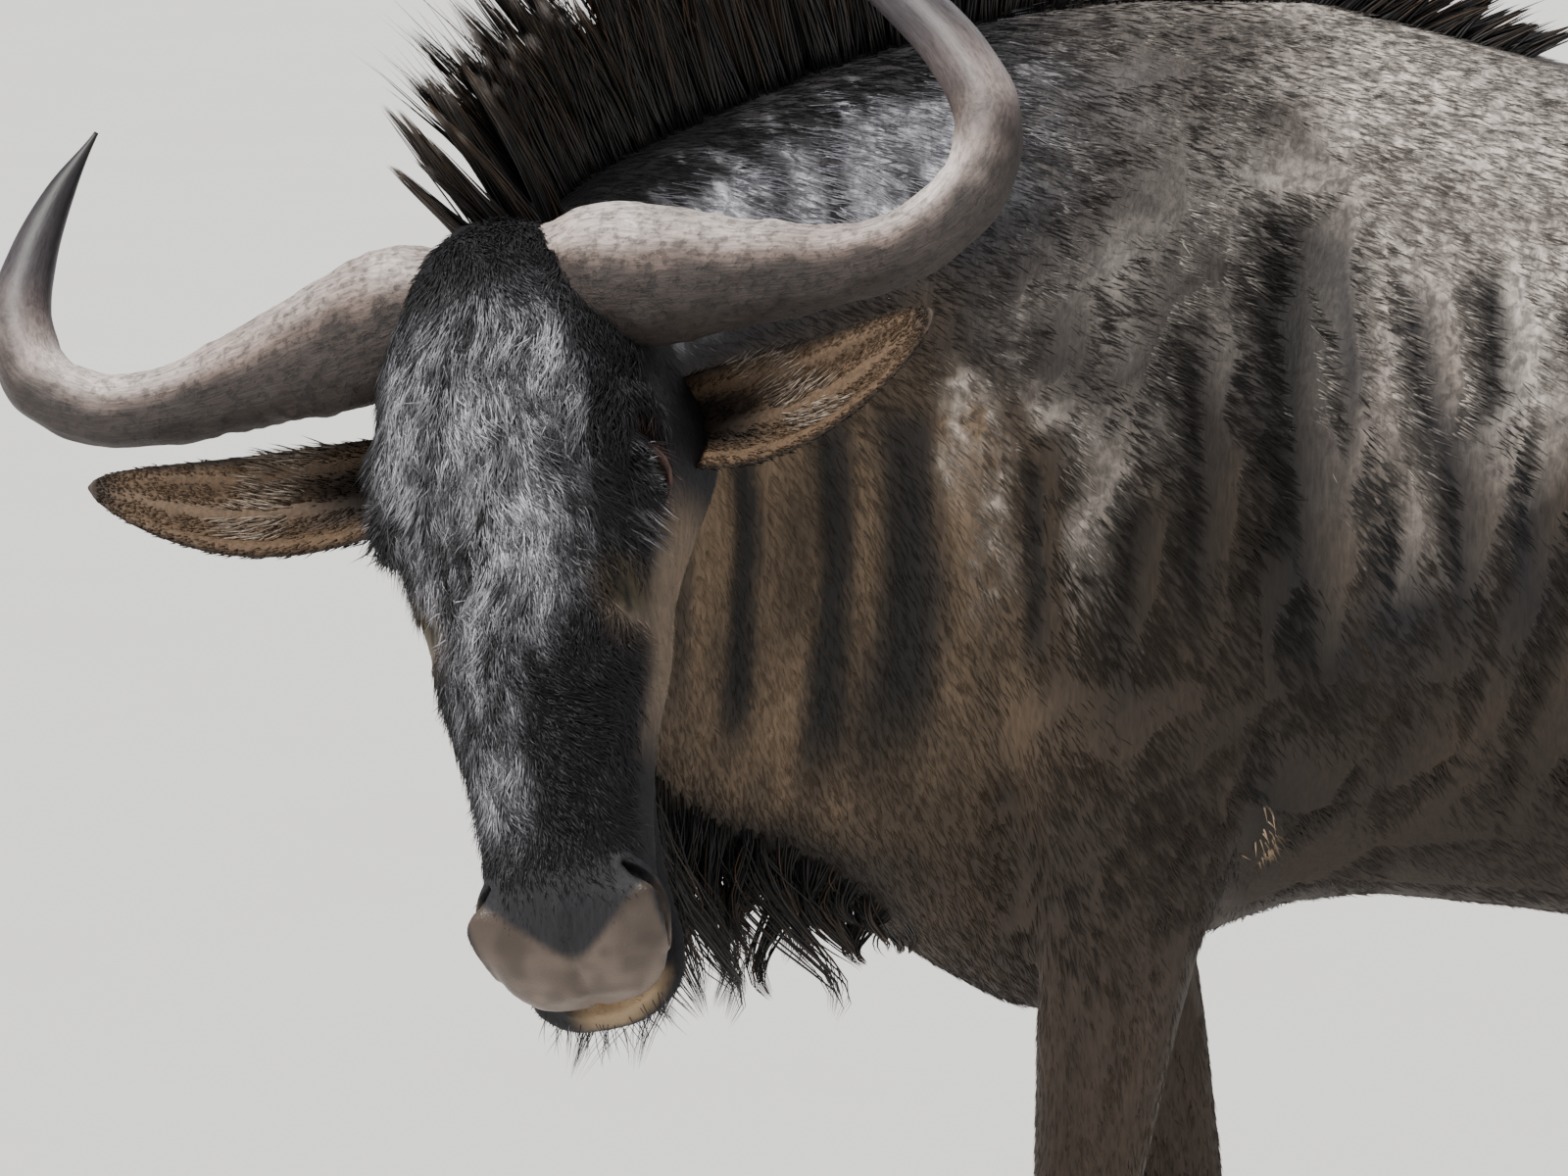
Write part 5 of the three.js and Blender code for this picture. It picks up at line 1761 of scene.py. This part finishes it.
def build_tail():
    """The black tuft that hangs from the tail's dock."""
    draw = np.random.default_rng(60)
    count = thinned(settings().tail_strands)
    share = spaced(draw, count) * TUFT_END
    turn = draw.random(count) * 2 * math.pi
    out = np.stack([np.cos(turn), np.sin(turn), 0 * turn], -1)
    lock = (share / TUFT_END * 13.99).astype(int) * 4 + (turn / (2 * math.pi) * 3.99).astype(int)
    roots = curve(TAIL_LINE[2:4] + TUFT_LINE, share) + out * (9 + 6 * draw.random(count))[:, None]
    lie = unit(np.array([0, 0, -1.0]) + out * 0.24 + 0.05 * draw.normal(size=(count, 3)))
    fall = -out * (0.17 + 0.05 * draw.normal(size=count))[:, None]
    length = 290 * (0.6 + 0.42 * draw.random(count) ** 0.7) * (1 - 0.55 * ease(roots[:, 2], 860, 1000))
    length = np.minimum(length, (roots[:, 2] - 292) / 0.97)
    half = 1.5 * (0.8 + 0.4 * draw.random(count))
    across = np.stack([-out[:, 1], out[:, 0], 0 * turn], -1)
    strands = long_hairs(draw, roots, lie, fall, length, half, across, 8, 0.12, lock, 0.6)
    root = root_tones(draw, count, COAT["black"], 0.7)
    # tips painted brown as light shining through them
    tones = root, blend(root, COAT["tip"], 0.4 * draw.random(count))
    rows = np.stack([share, turn], -1)
    new_hair(
        "tail_hair", strand_material("tail hair", 0.45), "long_hair", strands, tones, rows, "tail_tuft"
    )


def build_horns():
    """Two horns: a rough grooved boss that runs out into smooth dark hooked ends."""
    material = horn_material("horn keratin")
    for name, side in SIDES.items():
        rows = np.array(HORN + HORN_TIPS[name], float)
        turned = sweep_ring(rows[:, :3] * [1, side, 1], [0, 0, 1], lambda u: horn_size(rows, u))
        mesh = closed_form(lambda turn, u: head_spot(turned(turn, u)), HORN_SIDES, HORN_RINGS)
        points, normals = surface(mesh)
        share = np.repeat(np.arange(HORN_RINGS + 1), HORN_SIDES) / HORN_RINGS
        outward = normals @ HEAD_BACK
        rough = horn_relief(points, outward, share)
        rise = settings().horn_rough * 1000 * rough - 0.4
        set_points(mesh, points + normals * rise[:, None])
        smooth = ease(share, 0.4, 0.75)
        colour_points(mesh, "tone", horn_tone(points, outward, share, rough))
        colour_points(mesh, "marks", smooth, 0 * smooth, 0 * smooth)
        # flakes about 18 mm long and 2 mm wide
        colour_points(mesh, "flow", 40 * share, 18 * outward[:, ::2])
        new_piece(f"horn_sheath_{name}", mesh, material, "horn_sheath", f"horn_{name}")


def horn_size(rows, u):
    """Half width and half depth of a horn, which is a little flattened."""
    radius = between(rows, u)[:, 3]
    return radius * HORN_FLATTENED, radius


def horn_relief(points, outward, share):
    """Flakes that run along the horn, pits and lumps that are thickest at the boss, and rings."""
    flakes = patches(np.stack([share * 160, outward[:, 0] * 26, outward[:, 2] * 26], -1), 7, 3)
    lumps = patches(points, 13, 4) + 0.6 * patches(points, 6, 6) - 0.8
    rings = np.sin(share * 95 + 2 * patches(points, 30, 7))
    rough = ease(share, 0.6, 0.3) * (1.2 * lumps + 0.5 * (flakes - 0.5))
    rough += 0.8 * (flakes - 0.5) * ease(share, 0.25, 0.45) * ease(share, 0.72, 0.6)
    return rough + 0.1 * rings * ease(share, 0.3, 0.5) * ease(share, 0.8, 0.65)


def horn_tone(points, outward, share, rough):
    """Grey keratin: a painted highlight on its upper side and painted shade beneath it; dark
    toward the tip and in the pits.
    """
    # painted shade on the side that faces down the face
    under = ease(outward[:, 0] + 0.3 * (patches(points, 16, 9) - 0.5), -0.3, 0.22)
    # painted highlight on the side that faces up
    tone = blend(HORN_GREY, HORN_TOP_HIGHLIGHT, 0.95 * ease(outward[:, 0], 0.0, -0.5) * ease(share, 0.8, 0.5))
    for colour, amount in (
        (HORN_WARM, 0.7 * ease(share, 0.6, 0.3) * patches(points, 36, 8)),
        (HORN_UNDER_SHADE, 0.93 * under * ease(share, 0.8, 0.6)),
        (HORN_DARK, ease(share, 0.58, 0.8)),
        (HORN_TIP, 0.85 * ease(share, 0.8, 0.95)),
        (HORN_PIT, 0.6 * ease(-rough, 0.2, 0.8)),
    ):
        tone = blend(tone, colour, amount)
    return tone


def ear_frame(side):
    """An ear's root, the run to its tip, and the ways along, across and out of its cup."""
    root, tip = (np.array([s, side * t, n], float) for s, t, n in (EAR_ROOT, EAR_TIP))
    along = tip - root
    way = unit(along)
    across = np.array([1, 0, 0.1])
    across = unit(across - way * (across @ way))
    return root, along, way, across, np.cross(way, across) * -side


def ear_point(side, u, wide_share, wall_share, swell=1.0):
    """Points of an ear: u from root to tip, across from -1 to 1, and -1 to 1 through its wall."""
    root, along, _, across, facing = ear_frame(side)
    leaf = np.maximum(np.sin(math.pi * (0.2 + 0.8 * u)), 0) ** 0.55
    wide = EAR_HALF_WIDTH * np.maximum(leaf, 0.03) * wide_share
    bent = wide / EAR_HALF_WIDTH
    cup = EAR_CUP * (0.35 - bent * bent) * (1 - 0.4 * u)
    wall = EAR_THICK * (1 - 0.6 * u) * wall_share * swell
    over = across * (EAR_SAG * np.sin(math.pi * u) + wide)[:, None]
    return head_spot(root + along * u[:, None] + over + facing * (wall - cup)[:, None])


def build_ears():
    """Leaf-shaped ears, brown inside with a dark rim, and lined with pale hair."""
    material = strand_material("fine hair on ear skin", 0.6, 2.6, (1.0, 1.0, 1.0))
    for name, side in SIDES.items():
        build_ear_skin(name, side, material)
        build_ear_hair(name, side, material)


def build_ear_skin(name, side, material):
    """The ear's leaf: brown in the cup, dark at its rim, with painted shade deep inside near
    the root, and folds along it.
    """
    mesh = closed_form(lambda turn, u: ear_point(side, u, np.sin(turn), np.cos(turn), 0.8), 48, 60)
    points, normals = surface(mesh)
    root, along, way, across, facing = ear_frame(side)
    rest = on_head(points) - root
    u = np.clip(rest @ way / np.linalg.norm(along), 0, 1)
    leaf = np.maximum(np.sin(math.pi * (0.2 + 0.8 * u)), 0.03) ** 0.55
    wide = (rest @ across - EAR_SAG * np.sin(math.pi * u)) / (EAR_HALF_WIDTH * leaf)
    inside = ease((normals @ HEAD_BACK) @ facing, -0.1, 0.25)
    edge = np.maximum(ease(np.abs(wide), 0.78, 0.96), ease(u, 0.88, 0.98))
    # painted shade of the horn, deep in the cup near the root
    hollow = inside * ease(u, 0.5, 0.2) * ease(np.abs(wide + 0.1), 0.75, 0.3)
    tone = blend(blend(EAR_OUTER, EAR_INNER, inside), EAR_RIM, 0.75 * edge)
    folds = 1.6 * np.cos(wide * 9) * inside * ease(u, 0.95, 0.7) * ease(np.abs(wide), 0.9, 0.6)
    set_points(mesh, points + normals * (folds - 0.4)[:, None])
    colour_points(mesh, "tone", blend(tone, EAR_RIM, 0.85 * hollow))
    new_piece(f"ear_skin_{name}", mesh, material, "ear_hide", f"ear_{name}")


def build_ear_hair(name, side, material):
    """Hair of an ear: short all over, and long and pale in a band across the cup."""
    _, _, _, across, facing = ear_frame(side)
    draw = np.random.default_rng(70 + (side > 0))
    count = thinned(EAR_HAIRS)
    u = draw.random(count) * 0.97
    wide = either_way(draw, count) * 0.98
    front = np.where(draw.random(count) < 0.5, 1.0, -1.0)
    roots = ear_point(side, u, wide, front)
    flow = unit(ear_point(side, np.minimum(u + 0.03, 1), wide, front) - roots)
    face = head_way(np.tile(facing, (count, 1))) * front[:, None]
    leaning = head_way(np.tile(across, (count, 1))) * (0.25 * np.sign(wide))[:, None]
    band = (front > 0) & (np.abs(u - 0.48 - 0.12 * wide) < 0.1) & (wide < 0.5)
    length = np.where(band, 20.0, 7.0) * (0.7 + 0.5 * draw.random(count))
    length = length * np.minimum(1, 1.3 * (1.02 - u) + 0.35)
    off = face * (0.08 + 0.06 * draw.random(count))[:, None]
    lie = unit(flow + leaning + off + 0.12 * draw.normal(size=(count, 3)))
    half = np.where(band, 0.7, 0.6) * (0.8 + 0.4 * draw.random(count))
    share = np.linspace(0, 1, 3)[None, :, None]
    far = length[:, None, None]
    paths = roots[:, None, :] + lie[:, None, :] * (far * share)
    paths = paths - face[:, None, :] * (0.06 * far * share**2 + 0.3)
    edge = np.maximum(ease(np.abs(wide), 0.8, 0.97), ease(u, 0.86, 0.97))
    # painted shade of the horn, deep in the cup near the root
    hollow = (front > 0) * ease(u, 0.5, 0.2) * ease(np.abs(wide + 0.1), 0.75, 0.3)
    tone = blend(np.where(front[:, None] > 0, EAR_INNER, EAR_OUTER), EAR_RIM, 0.8 * edge)
    tone = blend(tone, EAR_RIM, 0.85 * hollow)
    tone = np.where(band[:, None], blend(tone, EAR_PALE, 0.8 * draw.random(count)), tone)
    tone = tone * np.exp(0.1 * draw.normal(size=count))[:, None]
    strands = paths, half[:, None] * (1 - share[:, :, 0] ** 1.5), unit(np.cross(lie, face))
    rows = np.stack([u + 1.2 * (front > 0), wide], -1)
    new_hair(f"ear_hair_{name}", material, "ear_hide", strands, (tone * 0.88, tone * 1.1), rows)


def build_eyes():
    """Wet dark eyes with a bulging clear front, and the fine hair round them."""
    material = eye_material("wet eye")
    for name, side in SIDES.items():
        centre, length, up, out = eye_axes(side)
        bm = bmesh.new()
        bmesh.ops.create_uvsphere(bm, u_segments=64, v_segments=40, radius=EYE_RADIUS / 1000)
        mesh = mesh_of(bm, "eye")
        local = mesh_points(mesh) * 1000
        x, y, z = local.T
        flat = np.hypot(x, y)
        front = z > 0
        slot = ease((np.abs(x) / 9.5) ** 2.4 + (np.abs(y) / 4.6) ** 2.4, 1.25, 0.8) * front
        local[:, 2] += 1.6 * front * ease(flat, 14, 4)
        spots = centre + local[:, :1] * length + local[:, 1:2] * up + local[:, 2:] * out
        set_points(mesh, head_spot(spots))
        tone = blend(EYE_WHITE, EYE_IRIS, ease(flat, 17, 14.5) * front)
        colour_points(mesh, "tone", blend(tone, EYE_PUPIL, slot))
        new_piece(f"eyeball_{name}", mesh, material, "eye_wet", f"eye_{name}")
    build_brow_hair()


def lashes(draw, side):
    """Short stiff hair along the upper lid."""
    centre, length, up, out = eye_axes(side)
    count = thinned(LASHES)
    along = either_way(draw, count)
    bend = np.cos(along * math.pi / 2)
    base = centre + length * (along * 23)[:, None] + up * (9.0 * bend + 1)[:, None]
    base = base + out * (15 + 7 * bend)[:, None]
    lie = out * 0.7 + up * -0.35 + length * (0.3 + 0.35 * along)[:, None]
    lie = unit(lie + 0.08 * draw.normal(size=(count, 3)))
    fall = np.tile(up * 0.1 - out * 0.15, (count, 1))
    far = 10 + 4 * draw.random(count)
    across = np.tile(head_way(length), (count, 1))
    half = np.full(count, 0.42)
    roots = head_spot(base)
    strands = long_hairs(draw, roots, unit(lie @ HEAD), fall @ HEAD, far, half, across, 6, 0.03)
    return *strands, np.stack([along, side + 0 * along], -1)


def brow(draw, skin, side):
    """Long fine hair over the eye."""
    _, length, up, _ = eye_axes(side)
    count = thinned(BROW_HAIRS)
    x, y, z = eye_place(on_head(skin.centres), side)
    density = ease(np.abs(x + 4), 44, 26) * ease(y, 13, 18) * ease(y, 48, 34) * (z > -20)
    roots, normals = skin.scatter(draw, count, density)
    lie = head_way(-up * 0.45 + length * 0.55) + 0.55 * normals
    lie = unit(lie + 0.18 * draw.normal(size=(count, 3)))
    fall = head_way(-up * 0.3 + length * 0.2) - 0.3 * normals
    far = 11 + 13 * draw.random(count)
    half = 0.45 + 0.3 * draw.random(count)
    across = np.tile(head_way(length), (count, 1))
    strands = long_hairs(draw, roots, lie, fall, far, half, across, 6, 0.24)
    return *strands, on_head(roots)[:, :2] * [0.02, 0.02] + [0, 3]


def whiskers(draw):
    """Sparse stiff hair on chin and lips."""
    count = thinned(WHISKERS)
    t = either_way(draw, count) * 46
    roots = head_spot(np.stack([538 - 0.008 * t**2, t, -60 + 10 * draw.normal(size=count)], -1))
    lie = head_way(np.stack([1 + 0 * t, 0.012 * t, -0.35 + 0 * t], -1))
    lie = unit(lie + 0.2 * draw.normal(size=(count, 3)))
    across = np.tile(head_way([0, 1, 0]), (count, 1))
    far, half = 14 + 14 * draw.random(count), np.full(count, 0.4)
    strands = long_hairs(draw, roots, lie, 0 * lie, far, half, across, 6, 0.1)
    return *strands, np.stack([t / 50, 6 + 0 * t], -1)


def build_brow_hair():
    """Lashes of the upper lids, the long hair of the brows above them, and the whiskers."""
    skin = Skin(bpy.data.objects["skin"].data)
    draw = np.random.default_rng(80)
    parts = []
    for side in SIDES.values():
        parts.append(lashes(draw, side))
        parts.append(brow(draw, skin, side))
    parts.append(whiskers(draw))
    *strands, rows = joined(parts)
    silver = draw.random(len(rows)) ** 4
    root = root_tones(draw, len(rows), COAT["face"], 0.8)
    tones = root, blend(root, COAT["frost_and_sheen"], 0.8 * silver)
    new_hair("brow_hair", strand_material("brow hair", 0.4), "long_hair", strands, tones, rows)


def claw_ring(leg, outer):
    """The rings of a claw from the sole up; outer is 1 for the outer claw and -1 for the inner."""
    stations, side, step = LEGS[leg]
    foot = stations[-1][1] + step
    middle = side * (stations[-1][2] + outer * (CLAW_WIDTH + CLEFT) / 2)

    def ring(turn, u):
        shrink = 1 - 0.3 * u
        across, along = rounded(turn, 2.4)
        toe = np.where(along < 0, 1 - 0.45 * np.abs(along) ** 2, 1)
        ridge = 0.5 * np.sin(u * 34) * ease(u, 0.02, 0.12)
        start = foot - CLAW_LENGTH * (TOE_REACH - 0.5)
        x = start + 20 * u + (CLAW_LENGTH / 2 * shrink + ridge) * along
        y = middle + (CLAW_WIDTH / 2 * (1 - 0.12 * u) + ridge) * across * toe
        return np.stack([x, y, CORONET * u], -1)

    return ring


def build_hooves():
    """Cloven hooves of dark ridged horn, and the small claws behind the pasterns."""
    material = hoof_material("hoof horn")
    for leg in LEGS:
        for outer, word in ((1, "outer"), (-1, "inner")):
            mesh = closed_form(claw_ring(leg, outer), 40, 30)
            points, _ = surface(mesh)
            tone = blend(HOOF_DARK, HOOF_LIGHT, 0.6 * patches(points * [1, 1, 3], 26, 14))
            colour_points(mesh, "tone", tone)
            colour_points(mesh, "flow", points / [30, 30, 4])
            new_piece(f"claw_{leg}_{word}", mesh, material, "hoof_horn", f"hoof_{leg}_{word}")
    build_dewclaws(material)


def build_dewclaws(material):
    """Small round claws in pairs behind the pasterns, narrower toward the ground."""
    bm = bmesh.new()
    for stations, side, step in LEGS.values():
        _, x, out, _, _ = stations[-3]
        for outer in (1, -1):
            made = bmesh.ops.create_icosphere(bm, subdivisions=3, radius=1)
            centre = np.array([x + step + 25, side * (out + outer * 15), 102.0])
            for vert in made["verts"]:
                low = max(0.0, -vert.co.z)
                spot = np.array(vert.co) * [13 * (1 - 0.4 * low), 9 * (1 - 0.4 * low), 16]
                spot[0] += 5 * low - 3
                vert.co = placed(centre + spot)
    mesh = mesh_of(bm, "dewclaws")
    colour_points(mesh, "tone", np.tile(HOOF_DARK, (len(mesh.vertices), 1)))
    colour_points(mesh, "flow", mesh_points(mesh) * 100)
    new_piece("dewclaws", mesh, material, "hoof_horn")


# Stage, lights and camera

# The camera: its place, its turn round the animal and its height over it in degrees, its lens
CAMERA_PLACE = [-1417.7, -6238.1, 1944.9]
CAMERA_AZIMUTH, CAMERA_ELEVATION = -10, 9
LENS = 202.5


def build_lights():
    """A dim sky, a broad soft key from the upper left, and a weak rim from behind."""
    world = bpy.data.worlds.new("studio")
    world.use_nodes = True
    sky = world.node_tree.nodes["Background"]
    sky.inputs["Color"].default_value = (0.9, 0.94, 1.0, 1)
    sky.inputs["Strength"].default_value = 0.5
    bpy.context.scene.world = world
    for name, way, angle, power, colour in (
        ("key", (-0.72, -0.4, 1.2), 12, 4.9, (1.0, 0.97, 0.93)),
        ("rim", (0.5, 0.8, 0.7), 30, 0.6, (0.94, 0.97, 1.0)),
    ):
        data = bpy.data.lights.new(name, "SUN")
        data.angle, data.energy, data.color = math.radians(angle), power, colour
        lamp = linked(name, data)
        lamp.location = Vector(way) * 4
        lamp.rotation_euler = Vector(way).to_track_quat("Z", "Y").to_euler()


def build_camera():
    """The camera at the photograph's angle; back is the way from the animal to it."""
    azimuth, elevation = math.radians(CAMERA_AZIMUTH), math.radians(CAMERA_ELEVATION)
    level = math.cos(elevation)
    back = Vector((math.sin(azimuth) * level, -math.cos(azimuth) * level, math.sin(elevation)))
    data = bpy.data.cameras.new("camera")
    data.lens, data.sensor_width = LENS, 36
    data.clip_start, data.clip_end = 0.1, 200
    camera = linked("camera", data)
    camera.location = placed(np.array(CAMERA_PLACE))
    camera.rotation_euler = (-back).to_track_quat("-Z", "Y").to_euler()
    bpy.context.scene.camera = camera


def build_stage():
    """A plain pale floor, soft lights and the camera at the photograph's angle."""
    bm = bmesh.new()
    bmesh.ops.create_grid(bm, x_segments=8, y_segments=8, size=60)
    floor = linked("floor", mesh_of(bm, "floor"))
    floor.data.materials.append(floor_material("matt painted floor"))
    build_lights()
    build_camera()


# Operators and panel


class BuildSkin(bpy.types.Operator):
    """Builds the skin over trunk, head, legs and the tail's dock"""

    bl_idname = "wildebeest.skin"
    bl_label = "Skin"

    def execute(self, context):
        build_skin()
        return {"FINISHED"}


class BuildShortCoat(bpy.types.Operator):
    """Covers the skin with short tufts"""

    bl_idname = "wildebeest.short_coat"
    bl_label = "Short coat"

    def execute(self, context):
        build_short_coat()
        return {"FINISHED"}


class BuildFaceCoat(bpy.types.Operator):
    """Covers the head with curly and short tufts"""

    bl_idname = "wildebeest.face_coat"
    bl_label = "Face coat"

    def execute(self, context):
        build_face_coat()
        return {"FINISHED"}


class BuildMane(bpy.types.Operator):
    """Builds the mane and the hair of the crown"""

    bl_idname = "wildebeest.mane"
    bl_label = "Mane"

    def execute(self, context):
        build_mane()
        return {"FINISHED"}


class BuildBeard(bpy.types.Operator):
    """Builds the beard under jaw and throat"""

    bl_idname = "wildebeest.beard"
    bl_label = "Beard"

    def execute(self, context):
        build_beard()
        return {"FINISHED"}


class BuildTail(bpy.types.Operator):
    """Builds the tail's tuft"""

    bl_idname = "wildebeest.tail"
    bl_label = "Tail"

    def execute(self, context):
        build_tail()
        return {"FINISHED"}


class BuildHorns(bpy.types.Operator):
    """Builds both horns"""

    bl_idname = "wildebeest.horns"
    bl_label = "Horns"

    def execute(self, context):
        build_horns()
        return {"FINISHED"}


class BuildEars(bpy.types.Operator):
    """Builds both ears and their hair"""

    bl_idname = "wildebeest.ears"
    bl_label = "Ears"

    def execute(self, context):
        build_ears()
        return {"FINISHED"}


class BuildEyes(bpy.types.Operator):
    """Builds eyes, lashes and brow hair"""

    bl_idname = "wildebeest.eyes"
    bl_label = "Eyes"

    def execute(self, context):
        build_eyes()
        return {"FINISHED"}


class BuildHooves(bpy.types.Operator):
    """Builds the hooves and dewclaws"""

    bl_idname = "wildebeest.hooves"
    bl_label = "Hooves"

    def execute(self, context):
        build_hooves()
        return {"FINISHED"}


class BuildStage(bpy.types.Operator):
    """Sets the floor, the lights and the camera"""

    bl_idname = "wildebeest.stage"
    bl_label = "Stage"

    def execute(self, context):
        build_stage()
        return {"FINISHED"}


OPERATORS = (
    BuildSkin,
    BuildShortCoat,
    BuildFaceCoat,
    BuildMane,
    BuildBeard,
    BuildTail,
    BuildHorns,
    BuildEars,
    BuildEyes,
    BuildHooves,
    BuildStage,
)


class WildebeestPanel(bpy.types.Panel):
    """Lists the pieces and their settings"""

    bl_idname = "VIEW3D_PT_wildebeest"
    bl_label = "Blue wildebeest"
    bl_space_type = "VIEW_3D"
    bl_region_type = "UI"
    bl_category = "Wildebeest"

    def draw(self, context):
        given = context.scene.wildebeest
        for key in WildebeestSettings.__annotations__:
            self.layout.prop(given, key)
        for operator in OPERATORS:
            self.layout.operator(operator.bl_idname)


def register():
    for kind in (WildebeestSettings, *OPERATORS, WildebeestPanel):
        bpy.utils.register_class(kind)
    bpy.types.Scene.wildebeest = bpy.props.PointerProperty(type=WildebeestSettings)


def unregister():
    del bpy.types.Scene.wildebeest
    for kind in reversed((WildebeestSettings, *OPERATORS, WildebeestPanel)):
        bpy.utils.unregister_class(kind)


def main():
    register()
    for operator in OPERATORS:
        getattr(bpy.ops.wildebeest, operator.bl_idname.split(".")[1])()


if __name__ == "__main__":
    main()
